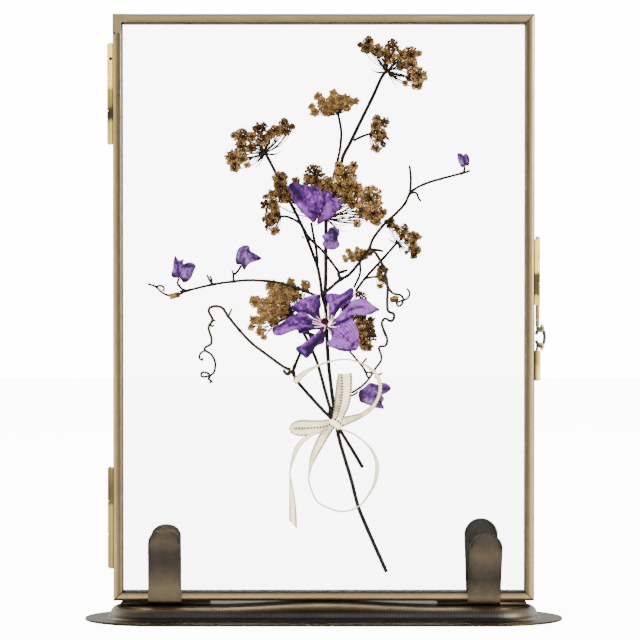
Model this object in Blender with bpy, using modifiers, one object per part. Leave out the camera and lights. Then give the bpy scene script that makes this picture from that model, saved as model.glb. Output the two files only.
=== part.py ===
"""A pressed flower frame: two glazed leaves in brass came, hinged on the left and pinned on the right.

They stand between bronze prongs on an oval stand of pressed sheet. Between the panes lie dried wild
carrot, clematis with its vines, and a bow of narrow ribbon. Metres, +Z up, the front towards -Y. The
origin is the middle of the stand's underside.
"""

import math

import bmesh
import bpy
from mathutils import Matrix, Vector

MM = 0.001

# The stand: an oval flange round a raised plateau, pressed from one sheet.
STAND_LENGTH = 150.6 * MM
STAND_DEPTH = 46.0 * MM
STAND_END = 18.0 * MM
STAND_SHEET = 0.7 * MM
STAND_RISE = 4.7 * MM
STAND_CROWN = 1.1 * MM
CROWN_REACH = 35.0 * MM
FLANGE_WIDTH = 6.6 * MM
SHOULDER_WIDTH = 4.7 * MM

# The two leaves of the frame.
FRAME_WIDTH = 132.4 * MM
FRAME_HEIGHT = 184.2 * MM
FRAME_BOTTOM = 6.1 * MM
HALF_DEPTH = 4.6 * MM
LEAF_DEPTH = 4.4 * MM
CAME_FACE = 2.9 * MM
CAME_WALL = 1.0 * MM
CAME_ROUND = 1.0 * MM
CAME_LIP_ROUND = 0.5 * MM
SLOT_START = 0.7 * MM
SLOT_WIDTH = 2.4 * MM
GLASS = 1.8 * MM
GLASS_BITE = 1.4 * MM
GAP = 0.3 * MM

# The two sprung brackets that hold the frame upright.
BRACKET_SHEET = 0.6 * MM
BRACKET_PLATE = 28.0 * MM
PRONG_REACH = 5.6 * MM
PRONG_BEND = 1.0 * MM
PRONG_LENGTH = 25.6 * MM

# Hinges and clasp: rolled knuckles on the leaves' outer sides.
KNUCKLE_RADIUS = 0.85 * MM
KNUCKLE_BORE = 0.5 * MM
HINGE_PIN_RADIUS = 0.28 * MM
PLATE_SHEET = 0.5 * MM
WIRE_RADIUS = 0.28 * MM
EYE_RADIUS = 0.9 * MM
TETHER_RADIUS = 2.85 * MM
TETHER_TURN = math.radians(110)

# The picture that the sprigs' places are read from: one pixel in the frame's plane, and its axes.
PIXEL = 0.3145 * MM
PICTURE_MIDDLE = 324.2
PICTURE_FOOT = 600.0

# Depths at which the sprigs lie between the panes, from the back one to the front one.
BACK_LAYER = 1.2 * MM
MAIN_LAYER = 0.55 * MM
MIDDLE_LAYER = -0.1 * MM
VINE_LAYER = -0.7 * MM
UNDER_PETAL_LAYER = -1.08 * MM
OVER_PETAL_LAYER = -1.36 * MM
RIBBON_LAYER = -1.36 * MM
HEAD_HALF_DEPTH = 0.25 * MM
PETAL_THICKNESS = 0.2 * MM
RAY_RADIUS = 0.11 * MM
SMALLEST_HEAD = 0.72 * MM
HUB_RADIUS = 0.62 * MM

COLOURS = {
    "brass": ((0.55, 0.38, 0.17), 0.30, 1.0),
    "bronze": ((0.16, 0.11, 0.07), 0.35, 1.0),
    "glass": ((0.92, 0.96, 0.95), 0.03, 0.0),
    "dry_head": ((0.24, 0.12, 0.05), 0.85, 0.0),
    "pale_head": ((0.40, 0.25, 0.11), 0.85, 0.0),
    "stem": ((0.03, 0.02, 0.01), 0.70, 0.0),
    "violet": ((0.26, 0.12, 0.45), 0.60, 0.0),
    "heart": ((0.15, 0.01, 0.03), 0.70, 0.0),
    "leaf": ((0.35, 0.20, 0.05), 0.75, 0.0),
    "ribbon": ((0.80, 0.76, 0.66), 0.40, 0.0),
}

# Heads of one crown seen from the side, as (across, up, radius) in pixels from the hub.
CROWN_HEADS = (
    (-29.6, 26.0, 2.2), (-18.5, 29.1, 5.4), (-20.1, 22.7, 5.7), (-9.9, 21.4, 6.2), (-4.8, 18.2, 4.8),
    (4.8, 24.0, 7.4), (2.9, 13.1, 6.2), (13.7, 16.3, 5.0), (23.3, 16.3, 7.6), (31.6, 17.6, 3.0),
    (23.9, 5.5, 7.0), (13.7, 5.5, 5.0), (32.2, -4.7, 8.0), (23.3, -5.4, 5.0), (30.3, -13.7, 5.6),
    (18.2, -12.1, 2.9),
)
# Heads of a small crown seen edge on.
EDGE_HEADS = (
    (7.3, 14.6, 4.4), (14.6, 11.4, 4.6), (6.3, 8.3, 4.6), (5.7, 2.5, 4.6), (12.1, 0.6, 4.2),
    (15.9, -3.9, 3.2), (8.2, -4.5, 4.8), (13.3, -9.6, 3.8), (7.3, -14.7, 3.8), (3.8, -13.0, 2.2),
)
# Heads of a flat pale crown.
FLAT_HEADS = (
    (-19.5, 17.3, 4.4), (-26.0, 7.7, 3.2), (-23.9, 1.9, 4.2), (-16.3, 12.2, 5.0), (-13.1, 6.4, 6.0),
    (-11.8, 1.3, 3.8), (-4.8, 21.1, 4.1), (-6.1, 12.8, 5.7), (-4.2, 5.8, 5.6), (2.2, 15.3, 5.0),
    (2.2, 9.0, 5.0), (8.0, 16.6, 3.8), (11.8, 12.2, 4.4), (8.6, 6.4, 3.8), (17.5, 12.2, 3.2),
)
# Heads of the broad middle crown.
BROAD_HEADS = (
    (-45.6, 39.8, 7.6), (-45.6, 31.7, 7.0), (-53.6, 24.6, 4.6), (-60.4, 22.4, 2.4), (-44.7, 23.7, 7.6),
    (-38.6, 18.6, 4.6), (-37.4, 27.3, 5.6), (-29.9, 38.0, 4.0), (-11.7, 44.2, 10.2), (-18.6, 36.8, 5.6),
    (-9.9, 36.0, 6.2), (-2.4, 33.5, 5.8), (3.2, 37.1, 6.0), (6.3, 31.0, 5.8), (19.6, 43.4, 10.8),
    (28.0, 53.2, 4.4), (13.0, 53.0, 3.6), (15.2, 32.6, 6.4), (24.6, 32.6, 6.8), (30.2, 28.0, 8.8),
    (21.8, 21.0, 6.6), (28.2, 14.8, 5.0), (44.2, 20.0, 12.8), (49.0, 6.0, 10.4), (37.0, 8.0, 5.6),
    (52.2, -3.0, 4.4), (33.0, -4.8, 4.0),
)
# Heads of the dark crown behind the large bloom.
DARK_HEADS = (
    (9.4, 28.4, 4.0), (14.5, 24.4, 4.0), (7.6, 19.0, 4.6), (12.0, 12.0, 5.0), (8.3, 6.0, 5.0),
    (13.4, 4.0, 4.6), (22.6, 1.0, 4.0), (11.4, -3.2, 5.6), (18.6, -2.2, 5.2), (13.4, -9.3, 5.6),
    (21.6, -8.3, 5.4), (23.7, -15.4, 4.4), (14.5, -17.5, 5.2), (16.5, -22.6, 5.0), (20.6, -25.6, 3.8),
)

# Each crown: heads, hub in pixels, scale, turn in degrees and whether it is mirrored.
CROWNS = {
    "lace_top": (CROWN_HEADS, (387.5, 70.1), 1.0, 0, False),
    "lace_left": (CROWN_HEADS, (265.6, 152.0), 1.0, 0, True),
    "lace_small": (CROWN_HEADS, (398.1, 241.3), 0.63, -16, False),
    "lace_side": (EDGE_HEADS, (370.2, 132.9), 1.0, 0, False),
    "lace_low": (EDGE_HEADS, (281.3, 215.7), 1.0, 0, True),
    "lace_tip": (EDGE_HEADS, (376.5, 276.0), 0.63, 0, False),
    "lace_pale": (FLAT_HEADS, (338.6, 113.2), 1.0, 0, False),
    "lace_inner": (FLAT_HEADS, (360.5, 260.4), 0.6, 0, False),
    "lace_light": (FLAT_HEADS, (293.0, 313.8), 1.46, 28, False),
    "lace_main": (BROAD_HEADS, (326.5, 218.0), 1.0, 0, False),
    "lace_dark": (DARK_HEADS, (349.0, 321.0), 1.0, 0, False),
}

# Courses of the stems and vines, in pixels, with any third number a step towards the front in mm.
TOP_STEM = ((387.5, 70.1), (382.0, 76.6), (373.0, 96.5), (362.3, 118.0), (351.5, 140.2), (343.9, 154.7),
            (341.0, 166.0), (336.0, 188.0), (329.0, 209.0))
SIDE_STEM = ((370.2, 132.9), (361.2, 136.1), (353.9, 139.8))
PALE_STEM = ((338.6, 113.2), (341.6, 130.0), (340.8, 145.5), (338.0, 160.0), (331.5, 185.0), (326.0, 206.0))
LEFT_STEM = ((265.6, 152.0), (271.2, 162.4), (277.3, 174.6), (284.0, 190.0), (293.5, 207.0),
             (303.0, 226.5), (312.1, 250.0), (317.6, 265.0), (322.0, 282.0), (324.6, 297.0), (326.6, 307.0))
BLOOM_STALK = ((311.6, 221.5), (312.2, 231.0), (315.7, 250.0), (317.4, 264.0))
MAIN_STEM = ((326.5, 218.0), (326.2, 245.0), (326.2, 274.8), (325.6, 297.8), (326.8, 320.7), (328.4, 355.7),
             (331.0, 381.2), (334.8, 410.5), (338.0, 431.0), (343.0, 450.6), (351.4, 478.2), (358.3, 505.0),
             (365.9, 524.1), (376.6, 548.6), (387.3, 572.3))
LOW_STEM = ((281.3, 215.7), (289.8, 216.6), (301.4, 223.8), (309.5, 237.0), (324.5, 251.8), (339.4, 271.4))
INNER_STEM = ((360.5, 260.4), (360.6, 272.5), (357.0, 281.5), (354.3, 287.0))
SMALL_STEM = ((398.1, 241.3), (380.7, 261.0), (366.9, 275.9), (356.3, 290.0))
TIP_STEM = ((376.5, 276.0), (371.5, 276.6), (365.0, 278.0))
LIGHT_STEM = ((293.0, 313.8), (303.0, 322.0), (311.0, 336.0))
DARK_STEM = ((349.0, 321.0), (341.0, 327.0), (335.0, 341.0))
SECOND_STEM = ((303.3, 331.3), (307.3, 338.5), (313.5, 351.7), (318.9, 365.9), (331.0, 409.2),
               (340.3, 428.9), (352.5, 449.0), (363.4, 467.4))
LEANING_STEM = ((301.0, 351.8), (295.5, 364.6), (293.8, 372.5), (299.1, 382.4), (319.5, 405.4),
                (334.0, 420.0))
RIGHT_VINE = ((321.0, 294.9), (330.0, 288.0), (341.0, 278.6), (349.7, 273.7), (361.2, 259.9), (369.4, 248.6),
              (373.7, 237.6), (384.9, 223.3), (397.1, 212.0), (405.3, 202.9), (410.4, 192.7), (417.0, 187.2),
              (428.8, 181.9), (448.2, 176.3), (463.4, 172.4))
RIGHT_VINE_TIP = ((410.4, 192.7), (411.3, 178.0), (409.9, 164.6))
RIGHT_VINE_HOOK = ((410.4, 192.7), (416.5, 192.1), (419.1, 197.8), (421.6, 200.6))
RIGHT_VINE_STUB = ((341.0, 278.6), (339.3, 272.5), (343.5, 271.8), (345.5, 270.0))
RIGHT_VINE_SPUR = ((369.4, 248.6), (377.0, 249.2), (383.9, 250.6))
RIGHT_VINE_FALL = (
    (371.6, 250.6), (375.6, 252.0), (380.8, 260.0), (384.6, 268.0), (388.0, 285.5), (387.7, 300.4),
    (388.6, 310.2), (393.9, 312.9), (394.4, 317.3), (391.3, 320.4), (385.4, 317.8), (382.3, 322.7),
    (385.0, 331.6), (387.7, 338.8), (385.9, 345.0), (379.5, 346.8), (382.0, 358.2), (375.6, 368.4),
    (368.0, 379.9), (361.0, 386.5), (352.4, 392.1),
)
CURL = ((387.7, 285.0), (393.0, 292.3), (400.2, 294.1, 0.1), (403.6, 297.6, 0.2), (402.5, 303.0, 0.3),
        (399.0, 305.4, 0.4), (397.2, 302.2, 0.4), (401.1, 300.4, 0.0), (407.3, 298.0, -0.2),
        (410.3, 293.0, -0.2), (407.4, 287.4, -0.2))
LEFT_VINE = ((321.0, 297.5), (311.8, 293.0), (300.0, 288.2), (286.9, 284.0), (272.0, 280.8), (249.1, 279.5),
             (234.1, 280.8), (213.5, 283.7), (188.2, 289.8), (180.0, 293.4), (170.0, 295.0), (161.8, 291.3),
             (156.1, 286.0), (148.0, 283.1))
LEFT_VINE_STALK = ((188.2, 289.8), (180.4, 285.2), (178.6, 281.0), (179.6, 277.6))
LEFT_VINE_TWIG = ((213.5, 283.7), (209.6, 278.0), (207.2, 273.8))
LEFT_VINE_TWIG_STALK = ((234.1, 281.3), (234.1, 274.6), (238.4, 269.8), (240.9, 265.6))
FALLING_VINE = (
    (291.2, 369.0), (283.5, 365.8), (266.3, 353.2), (252.5, 342.8), (239.9, 329.6), (228.4, 315.3),
    (222.7, 307.2), (215.8, 305.5), (210.0, 307.2), (209.5, 311.8), (212.9, 319.3), (208.9, 326.8),
    (211.7, 337.1), (211.2, 343.4), (205.4, 346.9), (206.0, 350.0), (211.8, 354.0), (215.5, 362.0),
    (214.3, 371.6), (208.0, 375.6, 0.1), (202.0, 375.6, 0.3), (202.4, 371.8, 0.4), (208.0, 372.4, 0.4),
)
FALLING_VINE_CURL = ((205.6, 349.6), (201.0, 352.6), (199.7, 357.0), (202.4, 359.4))

# Petal outlines of the large bloom, in pixels, in order round it, and of the smaller blooms and buds.
LARGE_PETALS = (
    ((320.6, 294.6), (315.5, 294.1), (306.3, 295.6), (300.2, 299.7), (292.0, 306.8), (298.7, 313.0),
     (305.3, 311.9), (311.4, 315.0), (317.5, 319.4), (322.3, 318.4), (319.6, 313.0), (321.1, 303.8)),
    ((272.7, 329.3), (275.7, 326.2), (283.9, 321.1), (291.0, 316.0), (297.1, 311.9), (301.2, 310.9),
     (305.3, 314.0), (311.4, 317.0), (316.5, 323.2), (321.2, 324.6), (315.5, 326.9), (305.3, 330.3),
     (299.2, 332.3), (297.1, 328.3), (291.0, 330.3), (280.8, 334.4), (274.7, 333.4)),
    ((324.7, 336.4), (317.6, 342.6), (311.4, 351.7), (310.4, 354.8), (306.3, 357.3), (303.3, 354.8),
     (297.1, 349.7), (297.1, 346.6), (301.2, 345.6), (306.3, 341.5), (315.5, 334.4), (321.6, 329.3),
     (325.0, 328.6)),
    ((329.0, 327.6), (336.9, 326.2), (342.0, 325.2), (350.2, 320.1), (353.3, 322.1), (356.3, 328.3),
     (358.4, 336.4), (358.9, 344.6), (357.3, 348.7), (351.2, 350.2), (342.0, 349.2), (334.9, 346.6),
     (328.8, 343.6), (329.8, 340.5), (333.9, 338.5), (331.8, 334.4)),
    ((332.8, 323.4), (338.9, 320.1), (343.1, 315.0), (346.1, 309.9), (350.2, 304.8), (355.3, 299.7),
     (362.4, 298.7), (368.6, 300.7), (373.7, 304.8), (379.8, 308.9), (375.7, 310.9), (371.6, 313.5),
     (366.5, 314.0), (360.4, 314.0), (354.3, 316.0), (350.2, 319.1), (342.0, 322.1), (334.9, 325.6)),
    ((329.6, 317.6), (328.8, 305.8), (326.7, 295.6), (331.8, 293.6), (342.0, 294.6), (348.2, 289.5),
     (351.2, 289.0), (353.3, 292.6), (351.2, 296.6), (346.1, 300.7), (342.0, 305.8), (336.9, 310.9),
     (332.6, 318.6)),
)
SIDE_BLOOM = {
    "left": ((288.5, 185.4), (293.4, 181.8), (303.2, 184.5), (308.6, 185.4), (317.5, 187.1), (322.0, 191.6),
             (323.6, 199.0), (321.0, 208.0), (318.0, 216.0), (314.6, 221.6), (310.6, 219.0), (305.0, 213.9),
             (299.6, 208.6), (295.2, 201.4), (292.5, 195.2)),
    "right": ((338.0, 197.0), (342.1, 201.4), (338.9, 208.6), (335.4, 212.1), (330.9, 216.6), (324.6, 219.3),
              (321.1, 222.4), (317.6, 222.0), (319.6, 214.6), (323.4, 206.6), (330.9, 198.8)),
    "small": ((323.8, 192.5), (328.2, 190.3), (331.8, 193.4), (331.2, 197.4), (326.0, 203.0), (322.6, 207.0)),
}
SMALL_BLOOM = ((334.5, 226.4), (338.6, 229.0), (339.8, 232.7), (338.0, 238.0), (339.8, 244.3), (336.8, 247.6),
               (332.7, 248.8), (327.0, 247.6), (322.9, 243.4), (325.0, 239.6), (322.4, 235.4), (328.0, 232.0),
               (330.0, 227.6))
LOW_BLOOM = ((359.2, 393.3), (360.4, 389.8), (363.8, 387.6), (370.7, 382.4), (377.6, 384.0), (381.0, 382.4),
             (386.8, 383.0), (391.4, 387.6), (386.8, 392.1), (382.2, 394.4), (384.5, 397.9), (382.2, 402.5),
             (384.5, 407.6), (377.6, 407.1), (371.8, 405.3), (365.0, 402.5), (360.4, 400.2))
LEFT_BUD = ((175.6, 255.0), (177.9, 258.5), (180.2, 260.2), (183.6, 258.5), (183.6, 263.6), (189.4, 261.6),
            (192.8, 262.5), (196.0, 264.8), (195.1, 268.2), (193.4, 271.7), (191.7, 276.3), (188.2, 280.3),
            (183.6, 281.4), (181.9, 279.1), (179.6, 276.8), (174.4, 276.8), (171.9, 274.0), (173.5, 268.2),
            (174.1, 261.3))
MIDDLE_BUD = ((246.8, 244.5), (249.6, 245.8), (250.8, 250.4), (255.9, 253.3), (261.7, 257.9), (255.9, 260.2),
              (250.2, 262.5), (246.8, 265.9), (244.7, 268.8), (242.7, 265.9), (241.0, 263.6), (237.0, 263.0),
              (236.2, 257.9), (237.6, 251.0), (241.0, 246.4))
RIGHT_BUD = ((459.0, 153.0), (463.0, 154.2), (465.2, 152.8), (469.6, 155.0), (469.4, 161.0), (467.0, 165.0),
             (464.0, 166.4), (460.4, 163.0), (458.6, 158.0))
BROWN_LEAF = ((390.5, 297.2), (394.0, 295.4), (398.4, 295.8), (398.9, 299.0), (395.6, 301.4), (391.4, 301.0))
BROWN_NODE = ((169.8, 293.5), (179.0, 291.7), (180.2, 295.8), (171.0, 298.6))
SEED = (303.2, 236.5, 2.0)

# The ribbon's courses, as (across, down, width) in pixels.
RIBBON_COURSES = {
    "upright_outer": ((341.8, 418.0, 8.0), (344.6, 400.0, 9.0), (347.8, 386.0, 9.2), (348.4, 377.0, 8.6),
                      (345.0, 373.6, 4.0)),
    "upright_inner": ((337.6, 418.0, 5.0), (338.8, 402.0, 5.4), (339.8, 388.0, 5.6), (341.4, 377.8, 5.4),
                      (345.4, 374.2, 3.4)),
    "side_outer": ((331.0, 423.6, 7.0), (315.0, 423.8, 8.4), (301.0, 423.6, 9.0), (293.6, 425.6, 6.4),
                   (291.6, 430.0, 2.0)),
    "side_inner": ((324.0, 430.4, 4.0), (314.0, 432.8, 4.4), (303.0, 433.4, 5.0), (294.6, 432.4, 4.6),
                   (291.8, 429.4, 2.0)),
    "upper_tail": ((340.0, 423.0, 9.0), (348.9, 419.4, 9.4), (360.4, 416.4, 8.2), (371.8, 407.4, 4.6),
                   (378.6, 397.4, 3.4), (381.0, 387.6, 3.6), (378.7, 378.0, 4.4), (372.0, 369.0, 3.0),
                   (360.4, 361.6, 1.8), (345.0, 358.2, 1.2), (328.4, 360.8, 1.4), (317.9, 364.8, 2.4),
                   (306.4, 371.6, 5.6), (297.4, 379.4, 8.0), (294.2, 382.0, 8.2)),
    "lower_tail": ((339.7, 427.8, 2.0), (345.4, 430.0, 1.1), (354.6, 433.4, 1.2), (365.0, 441.4, 1.4),
                   (372.4, 450.0, 2.4), (377.2, 461.6, 3.4), (376.8, 476.0, 3.4), (371.8, 489.8, 2.4),
                   (359.2, 505.8, 1.3), (340.8, 511.0, 1.0), (320.2, 503.0, 0.9), (313.3, 493.2, 0.9),
                   (309.3, 479.4, 1.1), (310.8, 469.0, 2.4), (313.4, 462.4, 5.0), (317.4, 452.4, 8.0),
                   (323.8, 439.6, 9.6), (332.0, 426.4, 9.0)),
    "left_tail": ((325.6, 429.4, 3.4), (308.7, 435.8, 3.2), (299.0, 444.6, 4.0), (293.4, 456.8, 3.6),
                  (290.6, 467.9, 1.6), (290.3, 472.2, 0.9), (291.2, 480.6, 3.0), (292.4, 494.0, 5.8),
                  (293.4, 508.0, 7.6), (294.0, 522.0, 8.4)),
    "knot": ((329.4, 418.2, 7.0), (334.4, 421.6, 10.0), (340.4, 426.4, 7.6)),
}


def spot(across, down):
    """The place in the frame's plane of a point of the picture, as (x, z)."""
    return (across - PICTURE_MIDDLE) * PIXEL, FRAME_BOTTOM + (PICTURE_FOOT - down) * PIXEL


def clear_scene():
    for thing in list(bpy.data.objects):
        bpy.data.objects.remove(thing, do_unlink=True)


def new_collection(name):
    made = bpy.data.collections.new(name)
    bpy.context.scene.collection.children.link(made)
    return made


def material(name, kind):
    colour, roughness, metallic = COLOURS[kind]
    made = bpy.data.materials.new(name)
    made.use_nodes = True
    surface = made.node_tree.nodes["Principled BSDF"]
    surface.inputs["Base Color"].default_value = (*colour, 1)
    surface.inputs["Roughness"].default_value = roughness
    surface.inputs["Metallic"].default_value = metallic
    made.diffuse_color = (*colour, 1)
    return made


def mesh_object(name, shape, collection):
    """A new object from a bmesh, which is freed."""
    mesh = bpy.data.meshes.new(name)
    shape.to_mesh(mesh)
    shape.free()
    made = bpy.data.objects.new(name, mesh)
    collection.objects.link(made)
    return made


def finish(made, kind):
    made.data.materials.clear()
    made.data.materials.append(material(made.name, kind))
    return made


def evaluated_mesh(thing):
    graph = bpy.context.evaluated_depsgraph_get()
    return bpy.data.meshes.new_from_object(thing.evaluated_get(graph))


def welded(mesh):
    """Closes the caps of a mesh made from a curve."""
    shape = bmesh.new()
    shape.from_mesh(mesh)
    bmesh.ops.remove_doubles(shape, verts=shape.verts, dist=0.001 * MM)
    bmesh.ops.recalc_face_normals(shape, faces=shape.faces)
    shape.to_mesh(mesh)
    shape.free()


def fused(name, pieces, kind):
    """One body from overlapping closed pieces."""
    first = pieces[0]
    first.name = name
    if len(pieces) > 1:
        helpers = bpy.data.collections.new(name + "_pieces")
        for piece in pieces[1:]:
            PARTS.objects.unlink(piece)
            helpers.objects.link(piece)
        CUTTERS.children.link(helpers)
        union = first.modifiers.new("Union", "BOOLEAN")
        union.operation = "UNION"
        union.solver = "EXACT"
        union.operand_type = "COLLECTION"
        union.collection = helpers
        bpy.context.view_layer.update()
        mesh = evaluated_mesh(first)
        first.modifiers.clear()
        first.data = mesh
        for piece in pieces[1:]:
            bpy.data.objects.remove(piece, do_unlink=True)
        bpy.data.collections.remove(helpers)
    return finish(first, kind)


def smooth_course(points, steps):
    """Points along a smooth curve through the given ones, each a tuple of any length."""
    padded = [points[0], *points, points[-1]]
    course = []
    for before, start, end, after in zip(padded, padded[1:], padded[2:], padded[3:]):
        for step in range(steps):
            t = step / steps
            course.append(tuple(
                0.5 * (2 * b + (c - a) * t + (2 * a - 5 * b + 4 * c - d) * t ** 2
                       + (3 * b - a - 3 * c + d) * t ** 3)
                for a, b, c, d in zip(before, start, end, after)
            ))
    course.append(tuple(points[-1]))
    return course


def tube(name, centres, radii, sides=6):
    """A closed round rod along centres, in metres, its radius going from one of radii to the other."""
    curve = bpy.data.curves.new(name, "CURVE")
    curve.dimensions = "3D"
    curve.bevel_depth = 1.0
    curve.bevel_resolution = (sides - 4) // 2
    curve.use_fill_caps = True
    line = curve.splines.new("POLY")
    line.points.add(len(centres) - 1)
    for index, (point, centre) in enumerate(zip(line.points, centres)):
        share = index / (len(centres) - 1)
        point.co = (*centre, 1)
        point.radius = radii[0] + (radii[1] - radii[0]) * share
    guide = bpy.data.objects.new(name, curve)
    PARTS.objects.link(guide)
    bpy.context.view_layer.update()
    mesh = evaluated_mesh(guide)
    bpy.data.objects.remove(guide, do_unlink=True)
    welded(mesh)
    made = bpy.data.objects.new(name, mesh)
    PARTS.objects.link(made)
    return made


def stalk(name, points, radii, layer, steps=2, sides=6):
    """A rod along a course of the picture, at a depth between the panes."""
    course = smooth_course([(*p, 0.0) if len(p) == 2 else p for p in points], steps)
    centres = []
    for across, down, forward in course:
        x, z = spot(across, down)
        centres.append((x, layer - forward * MM, z))
    return tube(name, centres, radii, sides)


def flat_piece(name, outline, layer, thickness):
    """A flat shape of the picture, given its thickness round a depth between the panes."""
    shape = bmesh.new()
    corners = []
    for across, down in outline:
        x, z = spot(across, down)
        corners.append(shape.verts.new((x, layer - thickness / 2, z)))
    face = shape.faces.new(corners)
    made = bmesh.ops.extrude_face_region(shape, geom=[face])
    moved = [part for part in made["geom"] if isinstance(part, bmesh.types.BMVert)]
    bmesh.ops.translate(shape, verts=moved, vec=(0, thickness, 0))
    bmesh.ops.triangulate(shape, faces=[f for f in shape.faces if len(f.verts) > 4])
    bmesh.ops.recalc_face_normals(shape, faces=shape.faces)
    return mesh_object(name, shape, PARTS)


def box(name, low, high):
    shape = bmesh.new()
    bmesh.ops.create_cube(shape, size=1.0)
    size = Vector(high) - Vector(low)
    middle = (Vector(high) + Vector(low)) / 2
    bmesh.ops.scale(shape, verts=shape.verts, vec=size)
    bmesh.ops.translate(shape, verts=shape.verts, vec=middle)
    return mesh_object(name, shape, PARTS)


def upright_cylinder(name, x, y, low, high, radius, sides=16):
    shape = bmesh.new()
    bmesh.ops.create_cone(shape, cap_ends=True, segments=sides, radius1=radius, radius2=radius,
                          depth=high - low)
    bmesh.ops.translate(shape, verts=shape.verts, vec=(x, y, (low + high) / 2))
    return mesh_object(name, shape, PARTS)


# The stand


def crown_at(x):
    """How much the plateau bows up at this distance along the stand."""
    if abs(x) >= CROWN_REACH:
        return 0.0
    return STAND_CROWN * (1 + math.cos(math.pi * x / CROWN_REACH)) / 2


def oval(inset, arc_steps=7, straight_steps=8):
    """The stand's outline drawn in by inset, as (x, y) pairs, counterclockwise from the right end."""
    half_length = STAND_LENGTH / 2 - inset
    half_depth = STAND_DEPTH / 2 - inset
    end = max(STAND_END - inset, half_depth)
    start = half_length - end
    quarter = [(start + end * math.cos(a), half_depth * math.sin(a))
               for a in (math.pi / 2 * step / arc_steps for step in range(arc_steps + 1))]
    straight = [(start * (1 - 2 * step / straight_steps), half_depth) for step in range(1, straight_steps)]
    top = quarter + straight + [(-x, y) for x, y in reversed(quarter)]
    return top + [(x, -y) for x, y in reversed(top[1:-1])]


def make_stand():
    rise = STAND_RISE - STAND_SHEET
    foot, shoulder = FLANGE_WIDTH, SHOULDER_WIDTH
    section = [
        (0.0, 0.0), (foot, 0.0), (foot + 0.14 * shoulder, 0.07), (foot + 0.24 * shoulder, 0.25),
        (foot + 0.32 * shoulder, 0.52), (foot + 0.45 * shoulder, 0.76), (foot + 0.66 * shoulder, 0.93),
        (foot + shoulder, 1.0), (foot + 2.2 * shoulder, 1.0), (foot + 3.3 * shoulder, 1.0),
    ]
    shape = bmesh.new()
    rings = []
    for inset, height in section:
        ring = []
        for x, y in oval(inset):
            lift = height * (rise + crown_at(x))
            ring.append(shape.verts.new((x, y, STAND_SHEET + lift)))
        rings.append(ring)
    count = len(rings[0])
    for outer, inner in zip(rings, rings[1:]):
        for i in range(count):
            j = (i + 1) % count
            shape.faces.new((outer[i], outer[j], inner[j], inner[i]))
    middle = rings[-1]
    for i in range(count // 2):
        corners = [middle[i], middle[i + 1], middle[-i - 1], middle[-i]]
        shape.faces.new(list(dict.fromkeys(corners)))
    stand = mesh_object("stand_base", shape, PARTS)
    sheet = stand.modifiers.new("Sheet", "SOLIDIFY")
    sheet.thickness = STAND_SHEET
    sheet.offset = -1
    sheet.use_even_offset = True
    return finish(stand, "bronze")


def prong_course(lean, tip_lean, hold):
    """The middle line of a prong from the plate's edge, as (outward, up) pairs from the bend's start."""
    points = [(0.0, 0.0)]
    bend_steps = 4
    rise_steps = 12
    last = math.radians(90 - lean)
    outward, up = 0.0, 0.0
    for step in range(bend_steps):
        angle = last * (step + 0.5) / bend_steps
        length = PRONG_BEND * last / bend_steps
        outward += length * math.cos(angle)
        up += length * math.sin(angle)
        points.append((outward, up))
    lengths = [PRONG_LENGTH * (step + 1) / rise_steps for step in range(rise_steps - 2)]
    done = 0.0
    for reach in lengths:
        outward, up = prong_step(outward, up, done, reach, lean, tip_lean, hold)
        points.append((outward, up))
        done = reach
    return points, done, (outward, up)


def prong_step(outward, up, done, reach, lean, tip_lean, hold):
    share = max(0.0, ((done + reach) / 2 / PRONG_LENGTH - hold) / (1 - hold))
    turned = math.radians(lean + (tip_lean - lean) * share * share * (3 - 2 * share))
    length = reach - done
    return outward + length * math.sin(turned), up + length * math.cos(turned)


def make_bracket(name, middle, prongs):
    """A plate with a round-ended prong bent up from its front and its back edge."""
    shape = bmesh.new()
    low = STAND_RISE + GAP + BRACKET_SHEET / 2
    edge = PRONG_REACH - PRONG_BEND
    rows = {}
    for side, prong in zip((-1, 1), prongs):
        half = prong["width"] / 2
        columns = (-BRACKET_PLATE / 2, prong["shift"] - half, prong["shift"] + half, BRACKET_PLATE / 2)
        rows[side] = [shape.verts.new((middle + x, side * edge, low)) for x in columns]
    for left, right in ((0, 1), (1, 2), (2, 3)):
        shape.faces.new((rows[-1][left], rows[-1][right], rows[1][right], rows[1][left]))
    for side, prong in zip((-1, 1), prongs):
        make_prong(shape, rows[side][1:3], side, prong, middle, low, edge)
    bmesh.ops.remove_doubles(shape, verts=shape.verts, dist=0.001 * MM)
    bmesh.ops.recalc_face_normals(shape, faces=shape.faces)
    bracket = mesh_object(name, shape, PARTS)
    sheet = bracket.modifiers.new("Sheet", "SOLIDIFY")
    sheet.thickness = BRACKET_SHEET
    sheet.offset = 0
    sheet.use_even_offset = True
    return finish(bracket, "bronze")


def make_prong(shape, start, side, prong, middle, low, edge):
    points, done, last = prong_course(prong["lean"], prong["tip_lean"], prong["hold"])
    half = prong["width"] / 2
    row = start
    for index, (outward, up) in enumerate(points[1:]):
        drift = prong["drift"] * index / len(points)
        row = prong_row(shape, row, middle + prong["shift"] + drift, half, side * (edge + outward), low + up)
    tip_start = done
    outward, up = last
    for angle in (22, 44, 62, 78, 90):
        reach = tip_start + half * math.sin(math.radians(angle))
        outward, up = prong_step(outward, up, done, reach, prong["lean"], prong["tip_lean"], prong["hold"])
        done = reach
        across = half * math.cos(math.radians(angle))
        row = prong_row(shape, row, middle + prong["shift"] + prong["drift"], across,
                        side * (edge + outward), low + up)


def prong_row(shape, row, x, half, y, z):
    left = shape.verts.new((x - half, y, z))
    right = shape.verts.new((x + half, y, z))
    shape.faces.new((row[0], row[1], right, left))
    return [left, right]


# The glazed leaves


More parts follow.
